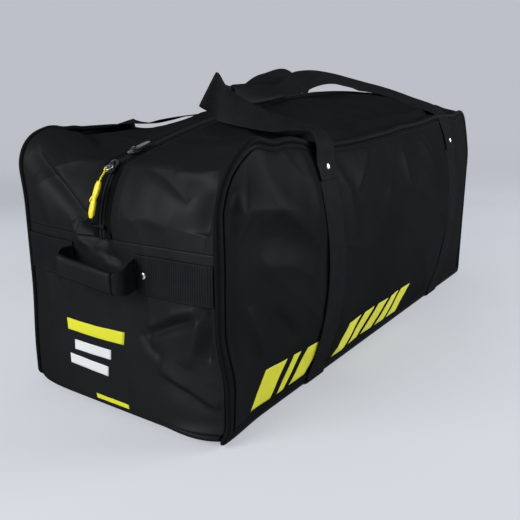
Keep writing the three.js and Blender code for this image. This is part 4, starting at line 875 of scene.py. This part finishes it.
backRows = [
    (-1.03, 1.06, 0.161, 1, 0, 0.1, 1), (-1.08, 0.99, 0.292, 0.95, 0.15, 0.15, 1), (-1.09, 0.92, 0.305, 0.9, 0.3, 0.05, 1),
    (-1.064, 0.84, 0.295, 0.85, 0.45, -0.02, 1), (-1.012, 0.74, 0.290, 0.85, 0.45, -0.05, 1),
    (-0.959, 0.63, 0.330, 0.88, 0.35, -0.05, 1), (-0.914, 0.514, 0.372, 0.88, 0.3, 0.0, 1),
    (-0.86, 0.434, 0.392, 0.85, 0.45, -0.02, 1), (-0.776, 0.36, 0.410, 0.7, 0.65, -0.02, 1),
    (-0.642, 0.3, 0.463, 0.35, 0.9, 0, 1), (-0.494, 0.275, 0.545, 0.1, 0.95, 0.15, 1),
    (-0.309, 0.28, 0.685, 0, 0.88, 0.42, 1), (-0.166, 0.3, 0.762, 0, 0.75, 0.62, 1), (0.004, 0.32, 0.824, 0, 0.75, 0.62, 1),
    (0.16, 0.35, 0.875, 0, 0.75, 0.6, 1), (0.3, 0.38, 0.904, 0.05, 0.78, 0.55, 1), (0.43, 0.42, 0.887, 0.15, 0.78, 0.5, 1),
    (0.563, 0.47, 0.83, 0.35, 0.74, 0.4, 1), (0.72, 0.55, 0.739, 0.55, 0.65, 0.3, 1), (0.84, 0.67, 0.615, 0.75, 0.5, 0.2, 1),
    (0.92, 0.8, 0.49, 0.9, 0.3, 0.1, 1), (0.965, 0.92, 0.388, 0.97, 0.15, 0.05, 1), (0.99, 1, 0.292, 1, 0, 0, 1),
    (1, 1.05, 0.173, 1, 0, 0, 1),
]


def placed(table):
    # Rows of centre, the way that the width lies, and the width, in metres
    table = np.array(table, float)
    centres = np.stack([handle["middle"] + handle["half"] * table[:, 0], halfDepth * table[:, 1],
                        bag["strapTop"] + handle["rise"] * table[:, 2]], 1)
    return np.concatenate([centres, unit(table[:, 3:6]), bag["web"] * table[:, 6:7]], 1)


def strapRoot(x, side):
    # The handle's end lies on the belt's face, from below the rivet up to the loose part
    z = bag["strapTop"] - np.array([0.029, 0.021, 0.013, 0.005])
    points = sidePoints(np.full_like(z, x), z, side, belt["gap"] + bag["webThick"] * 1.5 + handle["lap"])
    return np.concatenate([points, np.tile([1.0, 0, 0, bag["web"]], (4, 1))], 1)


def smoothRows(table):
    # A smooth curve through every row, with steps by the square root of the distance between rows
    before, after = 2 * table[:1] - table[1:2], 2 * table[-1:] - table[-2:-1]
    padded = np.concatenate([before, table, after])
    gaps = np.maximum(np.linalg.norm(np.diff(padded[:, :3], axis=0), axis=1) ** 0.5, 1e-4)[:, None]
    first, second, third, fourth = padded[:-3], padded[1:-2], padded[2:-1], padded[3:]
    gapIn, gap, gapOut = gaps[:-2], gaps[1:-1], gaps[2:]
    out = ((second - first) / gapIn - (third - first) / (gapIn + gap) + (third - second) / gap) * gap
    into = ((third - second) / gap - (fourth - second) / (gap + gapOut) + (fourth - third) / gapOut) * gap
    t = np.linspace(0, 1, 10, endpoint=False)[None, :, None]
    second, third, out, into = (value[:, None] for value in (second, third, out, into))
    curve = ((2 * t ** 3 - 3 * t ** 2 + 1) * second + (t ** 3 - 2 * t ** 2 + t) * out
             + (3 * t ** 2 - 2 * t ** 3) * third + (t ** 3 - t ** 2) * into)
    return np.concatenate([curve.reshape(-1, padded.shape[1]), table[-1:]])


def webbingPiece(name, table):
    # Webbing swept along the smooth curve through the rows
    curve = smoothRows(table)
    centres, across = curve[:, :3], unit(curve[:, 3:6])
    upward = unit(np.cross(np.gradient(centres, axis=0), across))
    piece = sweepPiece(name, centres, across, upward, curve[:, 6], bag["webThick"], webbing, "webbing", body=None)
    return piece, centres, across, upward


def foldRows(row):
    # Half a turn of the webbing round a sharp fold
    flat = placed([row])[0]
    outward = -np.cross([0, 1.0, 0], flat[3:6])
    angles = np.linspace(-pi / 2, pi / 2, 5)[:, None]
    centres = flat[:3] + outward * handle["fold"] * np.cos(angles) + np.array([0, 1.0, 0]) * handle["fold"] * np.sin(angles)
    return np.concatenate([centres, np.tile(flat[3:], (5, 1))], 1)


start = placed([gripStart])
gripWay = unit(np.array([0.999, 0, 0.04]))
gripEnd = np.concatenate([start[0, :3] + gripWay * handle["grip"], unit(np.array([0, 0.87, 0.5])), [0.030]])[None]
frontTable = np.concatenate([
    strapRoot(bag["nearBelt"], -1), placed(frontRise), foldRows(crease), placed(frontReturn), start, gripEnd,
    placed(frontArch), strapRoot(bag["farBelt"], -1)[::-1],
])
backTable = np.concatenate([strapRoot(bag["nearBelt"], 1), placed(backRows), strapRoot(bag["farBelt"], 1)[::-1]])
for sideName, side, table in (("front", -1, frontTable), ("back", 1, backTable)):
    piece = webbingPiece(f"{sideName}HandleWebbing", table)[0]
    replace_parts(piece, f"{sideName}_handle_webbing")
    side * 0.188
    side * 0.187
    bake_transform(piece)


def gripPiece(name, centres, across, upward, width, thickness, body, flare=0.0):
    # A padded sleeve: the section grows from the webbing to full size close to each end, and may flare at one end
    share = np.linspace(0, 1, len(centres))
    rise = np.clip(np.minimum(share, 1 - share) / 0.035, 0, 1) ** 0.5
    full = 1 + 0.05 * np.sin(pi * share) + flare * np.exp(-((1 - share) / 0.12) ** 2)
    sleeve = sweepPiece(name, centres, across, upward, 0.031 + (width * full - 0.031) * rise,
                        0.0022 + (thickness * full - 0.0022) * rise, clothGrip, "grip_sleeve", around=36, square=0.62,
                        body=None)
    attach(sleeve, body)
    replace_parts(sleeve, f"{body}_grip")


gripSteps = np.linspace(0, 1, 60)[:, None]
gripCentres = start[0, :3] + gripWay * handle["grip"] * gripSteps
gripAcross = unit(start[0, 3:6] * (1 - gripSteps) + gripEnd[0, 3:6] * gripSteps)
gripUpward = unit(np.cross(np.tile(gripWay, (60, 1)), gripAcross))
gripPiece("frontGripSleeve", gripCentres, gripAcross, gripUpward, 0.034, 0.0115, "front_handle")
lines = [(gripCentres + gripAcross * away + gripUpward * face * 0.0050)[4:-4]
         for away in (-0.0128, 0.0128) for face in (-1, 1)]
stitchPiece("frontGripStitches", lines, body="front_handle")
print("carry handles made")


# Webbing bands across the ends, and the end handles

band = {"low": 0.178, "high": 0.228, "height": 0.00225, "stitches": 0.0024}
endGrip = {"hinge": 0.462941, "reach": 0.036, "width": 0.0265, "thickness": 0.010, "tilt": 0.085, "flare": 0.18,
           "aside": 0.005, "half": 0.047}
endRows = [(-0.0002, 0.0566, 0.040), (0.006, 0.0575, 0.040), (0.012, 0.0571, 0.039), (0.024, 0.0560, 0.034),
           (0.0328, 0.0513, 0.026), (0.0353, 0.047, 0.023), (0.036, 0.025, 0.023)]
bandLow, bandHigh = [(z - footHeight) / (bag["seamHeight"] - footHeight) for z in (band["low"], band["high"])]
for name, (line, mirror) in ends.items():
    end = 1 if mirror else -1
    lines = []
    for sideName, side in sides.items():
        ys = side * np.linspace(bag["bandGap"], seamY, 70)
        points, normals, cloth = bandSheet(endEdge, endCentre, np.linspace(bandLow, bandHigh, 40), ys, mirror=mirror,
                                           height=band["height"])
        piece = gridPiece(f"{name}Band{sideName}", points, bandWebbing, "webbing", outward=normals,
                          cloth=cloth[..., ::-1], thickness=bag["webThick"])
        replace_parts(piece, f"{name}_end_band_{sideName}")
        for edge in (0.03, 0.97):
            row = [bandLow + (bandHigh - bandLow) * edge]
            lines.append(stitchLine(endEdge, endCentre, row, ys, mirror, band["stitches"])[0])
        for along in (0.004, 0.018):
            shares = np.linspace(bandLow, bandHigh, 30)[2:-2]
            lines.append(stitchLine(endEdge, endCentre, shares, [side * (bag["bandGap"] + along)], mirror,
                                    band["stitches"])[:, 0])
    stitchPiece(f"{name}BandStitches", lines)
    # The handle's rows by reach from the hinge, distance from the middle and width, then the same rows mirrored
    hinge, body = endGrip["hinge"], f"{name}_end_handle"
    half = [(end * (hinge + reach), -y, bag["bandHeight"], 0, 0, 1, width) for reach, y, width in endRows]
    table = np.array(half + [(end * (hinge + endGrip["reach"]), 0, bag["bandHeight"], 0, 0, 1, 0.023)]
                     + [(row[0], -row[1], *row[2:]) for row in half[::-1]])
    loose = ease((np.abs(table[:, 0]) - hinge) / 0.03)
    table[:, 2] += endGrip["tilt"] * table[:, 1] * loose
    table[:, 1] -= endGrip["aside"] * loose
    piece, centres, across, upward = webbingPiece(f"{name}EndHandleWebbing", table)
    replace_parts(piece, f"{body}_webbing")
    end * (hinge - 0.0005)
    end * (hinge + 0.014)
    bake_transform(piece)
    middle = np.abs(centres[:, 1] + endGrip["aside"]) <= endGrip["half"]
    gripPiece(f"{name}EndGripSleeve", centres[middle], across[middle], upward[middle], endGrip["width"],
              endGrip["thickness"], body, endGrip["flare"])
    lines = [(centres + across * away + upward * face * 0.0046)[middle][4:-4]
             for away in (-0.0095, 0.0095) for face in (-1, 1)]
    stitchPiece(f"{name}EndGripStitches", lines, body=body)
print("end handles made")


# Rivets: low domes, turned about the cloth's normal

rivet = {"radius": 0.0045, "height": 0.0018}


def domePiece(name, place, outward):
    # The profile turned about the way outward
    outward = unit(np.asarray(outward, float))
    side = unit(np.cross(outward, [0.2, 0.3, 0.93]))
    third = np.cross(outward, side)
    profile = np.array([(0, 0), (0.6, 0), (1, 0), (1.0, 0.25), (0.9, 0.6), (0.68, 0.88), (0.35, 0.99), (0, 1)])
    angles = np.linspace(0, 2 * pi, 28, endpoint=False)
    spin = side * np.cos(angles)[:, None] + third * np.sin(angles)[:, None]
    grid = (place + profile[:, 0, None, None] * rivet["radius"] * spin[None]
            + profile[:, 1, None, None] * rivet["height"] * outward)
    return gridPiece(name, grid, silverMetal, "silver_metal", closed=True)


for name, x in belts.items():
    for sideName, side in sides.items():
        z = bag["strapTop"] - np.array([0.017, 0.012, 0.007])
        below, middle, above = sidePoints(np.full(3, x), z, side, belt["gap"] + bag["webThick"] * 2 + handle["lap"])
        normal = np.cross([side, 0, 0], above - below)
        dome = domePiece(f"{name}{sideName}StrapRivet", middle, normal * np.sign(normal[1]) * side)
        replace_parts(dome, f"{name}_{sideName}_strap_rivet")
for name, (line, mirror) in ends.items():
    for sideName, side in sides.items():
        share = (bag["bandHeight"] - footHeight) / (bag["seamHeight"] - footHeight)
        points, normals, _ = bandSheet(endEdge, endCentre, [share], [side * 0.070], mirror=mirror, height=0.0025)
        dome = domePiece(f"{name}End{sideName}Rivet", points[0, 0], normals[0, 0])
        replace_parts(dome, f"{name}_end_{sideName}_rivet")
print("rivets made")


# Zip sliders keep their CAD shapes. The pull is a ring, a short cord with an eye, and a moulded grip.

for name, finish in (("ridge_slider", blackMetal), ("end_slider", blackMetal), ("ridge_slider_tab", blackMetal),
                     ("near_zip_stop", blackMetal), ("far_zip_stop", blackMetal)):
    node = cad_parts[name]
    node.data.materials.clear()
    node.data.materials.append(finish)

pull = {"pin": (-0.438396, 0.0, 0.329944), "ringLean": 65, "cordLean": 42, "lean": 17, "sway": 6, "ring": 0.0055,
        "wire": 0.0008, "eye": 0.0024, "eyeWire": 0.0009, "cord": 0.014, "cordRadius": 0.0012, "length": 0.047}


def hanging(lean, sway=0.0):
    # The way down, turned by lean off the near end and by sway to the back
    lean, sway = math.radians(lean), math.radians(sway)
    return np.array([-math.cos(sway) * math.sin(lean), math.sin(sway), -math.cos(sway) * math.cos(lean)])


def ringPiece(name, centre, first, second, radius, wire, finish, slot, body):
    # A torus about the plane of two directions
    turn = np.linspace(0, 2 * pi, 41)
    spin = first * np.cos(turn)[:, None] + second * np.sin(turn)[:, None]
    axis = np.cross(first, second)
    angles = np.linspace(0, 2 * pi, 12, endpoint=False)
    grid = (centre + spin[:, None] * (radius + wire * np.cos(angles))[None, :, None]
            + axis * (wire * np.sin(angles))[None, :, None])
    return gridPiece(name, grid, finish, slot, closed=True, body=body)


pin = np.array(pull["pin"])
ringWay = hanging(pull["ringLean"])
depthWay = np.array([0, 1.0, 0])
ring = ringPiece("pullRing", pin + ringWay * pull["ring"], ringWay, depthWay, pull["ring"], pull["wire"], silverMetal,
                 "silver_metal", "end_pull")
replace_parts(ring, "end_pull_ring")
ringFoot = pin + ringWay * 2 * pull["ring"]
cordWay = hanging(pull["cordLean"])
ringPiece("pullEye", ringFoot, cordWay, np.cross(depthWay, cordWay), pull["eye"], pull["eyeWire"], yellowRubber,
          "yellow_rubber", "end_pull")
steps = np.linspace(0, 1, 30)[:, None]
cordStart = ringFoot + cordWay * pull["eye"]
cordFoot = ringFoot + cordWay * (pull["eye"] + pull["cord"] + 0.0013)
pullWay = hanging(pull["lean"], pull["sway"])
curve = (cordStart * (1 - steps) ** 2 + 2 * steps * (1 - steps) * (cordFoot - pullWay * 0.003)
         + (cordFoot + pullWay * 0.002) * steps ** 2)
cordTurn = unit(np.gradient(curve, axis=0))
side = unit(np.cross(cordTurn, depthWay))
cordWidths = 2 * pull["cordRadius"] * (1 + 0.08 * np.cos(steps[:, 0] * 60))
cord = sweepPiece("pullCord", curve, side, np.cross(side, cordTurn), cordWidths, 2 * pull["cordRadius"], yellowRubber,
                  "yellow_rubber", around=14, square=1.0, body="end_pull")
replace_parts(cord, "end_pull_cord")

# The grip: two moulded halves in line, the upper one with a small hook on its side
shares = np.linspace(0, 1, 90)
widthStops = [(0, 0.0058), (0.05, 0.0078), (0.16, 0.0092), (0.36, 0.0088), (0.44, 0.0064), (0.50, 0.0058), (0.56, 0.0082),
              (0.74, 0.0098), (0.90, 0.0088), (0.97, 0.0062), (1, 0.0030)]
thickStops = [(0, 0.0036), (0.1, 0.0050), (0.40, 0.0048), (0.48, 0.0036), (0.58, 0.0048), (0.85, 0.0050), (1, 0.0026)]
front = unit(np.cross(depthWay, pullWay))
spine = cordFoot + pullWay * pull["length"] * shares[:, None] + front * np.sin(pi * shares)[:, None] * 0.0012
acrossWay = unit(np.cross(pullWay, front))
grip = sweepPiece("pullGrip", spine, np.tile(acrossWay, (90, 1)), np.tile(front, (90, 1)),
                  np.interp(shares, *np.array(widthStops).T), np.interp(shares, *np.array(thickStops).T), yellowRubber,
                  "yellow_rubber", around=28, square=0.75, body="end_pull")
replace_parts(grip, "end_pull_grip")
hookSteps = np.linspace(0, 1, 20)[:, None]
hookBase = cordFoot + pullWay * pull["length"] * 0.40 + acrossWay * 0.0025
hook = hookBase + acrossWay * (0.0055 * np.sin(hookSteps * 1.9)) + pullWay * 0.009 * hookSteps
hookTurn = unit(np.gradient(hook, axis=0))
sweepPiece("pullHook", hook, unit(np.cross(hookTurn, front)), np.tile(front, (20, 1)), np.linspace(0.0042, 0.0018, 20),
           np.linspace(0.0040, 0.0020, 20), yellowRubber, "yellow_rubber", around=14, square=0.9, body="end_pull")
print("pulls made")


# Plain printed bars

def between(corners, across, down):
    # Points between four corners, in the order low left, low right, high right, high left
    u, v = np.meshgrid(np.linspace(0, 1, across), np.linspace(0, 1, down))
    u, v, corners = u[..., None], v[..., None], np.array(corners)
    return (1 - v) * ((1 - u) * corners[0] + u * corners[1]) + v * ((1 - u) * corners[3] + u * corners[2])


def barPiece(name, points, outward, flat, finish):
    # A thin skin of print on the cloth
    return gridPiece(name, points, finish, "yellow_rubber", outward=outward, cloth=flat, thickness=0.0002)


def barOnSide(name, corners):
    # On the front panel's own surface
    flat = between(corners, 26, 18)
    points = sidePoints(flat[..., 0], flat[..., 1], -1, 0.0004)
    barPiece(name, points, np.broadcast_to([0, -1.0, 0], points.shape), flat, yellowPrint)


def barOnEnd(name, corners, finish):
    # The end's own surface, as bandSheet makes it, at set heights
    flat = between(corners, 20, 10)
    share = (flat[..., 1] - footHeight) / (bag["seamHeight"] - footHeight)
    edge, centre = (np.interp(share, [0, 1], line[:, 0]) for line in (endEdge, endCentre))
    power = bag["topPower"] + (bag["bottomPower"] - bag["topPower"]) * (1 - share) ** 2
    crown = 1 - (np.clip(np.abs(flat[..., 0]) - bag["zipHalf"], 0, None) / (seamY - bag["zipHalf"])) ** power
    points = np.stack([edge * (1 - crown) + centre * crown, flat[..., 0], flat[..., 1]], -1)
    normals = np.broadcast_to([-1.0, 0, 0], points.shape)
    points = points + normals * (bandFolds(points, normals) + 0.0005)[..., None]
    barPiece(name, points, normals, flat, finish)


bars = {"low": 0.023, "high": 0.073, "slant": 0.028, "edges": [
    (-0.398, -0.352), (-0.336, -0.320), (-0.304, -0.262), (-0.186, -0.142), (-0.128, -0.092), (-0.078, -0.040),
    (-0.026, 0.010), (0.022, 0.060)]}
for index, (left, right) in enumerate(bars["edges"]):
    barOnSide(f"frontBar{index + 1}", [(left, bars["low"]), (right, bars["low"]), (right + bars["slant"], bars["high"]),
                                       (left + bars["slant"], bars["high"])])
for name, finish, corners in (
        ("Yellow", yellowPrint, [(0.076, 0.103), (-0.032, 0.104), (-0.033, 0.121), (0.078, 0.119)]),
        ("WhiteUpper", whitePrint, [(0.062, 0.077), (-0.008, 0.078), (-0.009, 0.092), (0.062, 0.091)]),
        ("WhiteLower", whitePrint, [(0.072, 0.055), (-0.002, 0.053), (-0.003, 0.067), (0.073, 0.069)]),
        ("Small", yellowPrint, [(0.0215, 0.0160), (-0.0396, 0.0165), (-0.0378, 0.0225), (0.0230, 0.0222)])):
    barOnEnd(f"endBar{name}", corners, finish)
print("print made")


# Floor, backdrop and soft light

room = {"far": 3.6, "wide": 7.0, "rise": 6.0, "glow": 0.54, "fade": 1.3}
turn = np.linspace(0, pi / 2, 24)
run = np.concatenate([np.stack([np.linspace(-4.5, room["far"], 30), np.zeros(30)], 1),
                      np.stack([room["far"] + 1.2 * np.sin(turn), 1.2 - 1.2 * np.cos(turn)], 1)[1:],
                      np.stack([np.full(12, room["far"] + 1.2), np.linspace(1.2, room["rise"], 13)[1:]], 1)])
widths = np.linspace(-room["wide"], room["wide"], 30)
flatWay = np.array([math.cos(yaw), math.sin(yaw), 0])
sideWay = np.array([-math.sin(yaw), math.cos(yaw), 0])
grid = run[:, None, :1] * flatWay + run[:, None, 1:] * np.array([0, 0, 1.0]) + widths[None, :, None] * sideWay
distance = np.broadcast_to(lengths(run)[:, None] - 4.5, grid.shape[:2])
paper = Finish("paper", Roughness=0.85, Specular_IOR_Level=0.0)
away = paper.cloth()[1]
paperTone = paper.noise(1.2, 2.0)
paper.feed(Base_Color=paper.blend(paperTone, (0.72, 0.755, 0.80), (0.76, 0.79, 0.835)))
# What the camera and the metal see of the paper glows, in painted light and shade: pale near the bag, a little darker
# where the floor ends; near the bag only a share of it glows, which lightens the bag's shadow there
tone = paper.node("ValToRGB", None, {0: away * 0.2 + 0.2})
ramp = tone.socket.node.color_ramp
ramp.elements[0].color, ramp.elements[1].color = (0.69, 0.715, 0.770, 1), (0.51, 0.525, 0.575, 1)
for place, colour in ((0.20, (0.68, 0.705, 0.760, 1)), (0.32, (0.58, 0.605, 0.660, 1)), (0.43, (0.44, 0.457, 0.505, 1)),
                      (0.56, (0.50, 0.515, 0.565, 1))):
    stop = ramp.elements.new(place)
    stop.color = colour
glow = paper.node("Emission", None, {"Color": tone, "Strength": 1.0})
rays = [paper.node("LightPath", output=index) for index in (0, 3, 6)]
seen = rays[0].math("MAXIMUM", rays[1]).math("MAXIMUM", rays[2])
beyond = ((away - room["fade"]) * 1.2).math("MAXIMUM", 0.0).math("MINIMUM", 1.0)
share = seen * (beyond * (1 - room["glow"]) + room["glow"])
mixed = paper.tree.nodes.new("ShaderNodeMixShader")
paper.tree.links.new(share.socket, mixed.inputs[0])
paper.tree.links.new(paper.shader.outputs[0], mixed.inputs[1])
paper.tree.links.new(glow.socket, mixed.inputs[2])
paper.tree.links.new(mixed.outputs[0], paper.tree.nodes["Material Output"].inputs["Surface"])
backdrop = gridPiece("backdrop", grid, paper.material, None, outward=np.broadcast_to([0, 0, 1.0], grid.shape),
                     cloth=np.stack([0 * distance, distance], -1), body=None)


def softBox(name, place, target, size, power):
    # A wide lamp turned to its target
    lamp = bpy.data.lights.new(name, "AREA")
    lamp.shape, lamp.size, lamp.size_y, lamp.energy = "RECTANGLE", size[0], size[1], power
    lamp.color = (0.985, 0.992, 1.0)
    holder = bpy.data.objects.new(name, lamp)
    holder.location = place
    holder.rotation_euler = (Vector(target) - Vector(place)).to_track_quat("-Z", "Y").to_euler()
    bpy.context.scene.collection.objects.link(holder)


softBox("leftLight", (-2.5, 1.0, 1.4), (-0.3, 0, 0.2), (1.8, 1.4), 66)
softBox("rightLight", (2.0, -2.2, 1.15), (0.1, 0, 0.2), (1.8, 1.4), 88)
softBox("topLight", (0.2, 0.5, 2.6), (0.2, 0, 0), (3.2, 2.6), 12)
world = bpy.data.worlds.new("room")
world.use_nodes = True
world.node_tree.nodes["Background"].inputs["Color"].default_value = (0.94, 0.97, 1.0, 1)
world.node_tree.nodes["Background"].inputs["Strength"].default_value = 0.17
bpy.context.scene.world = world
print("room made")
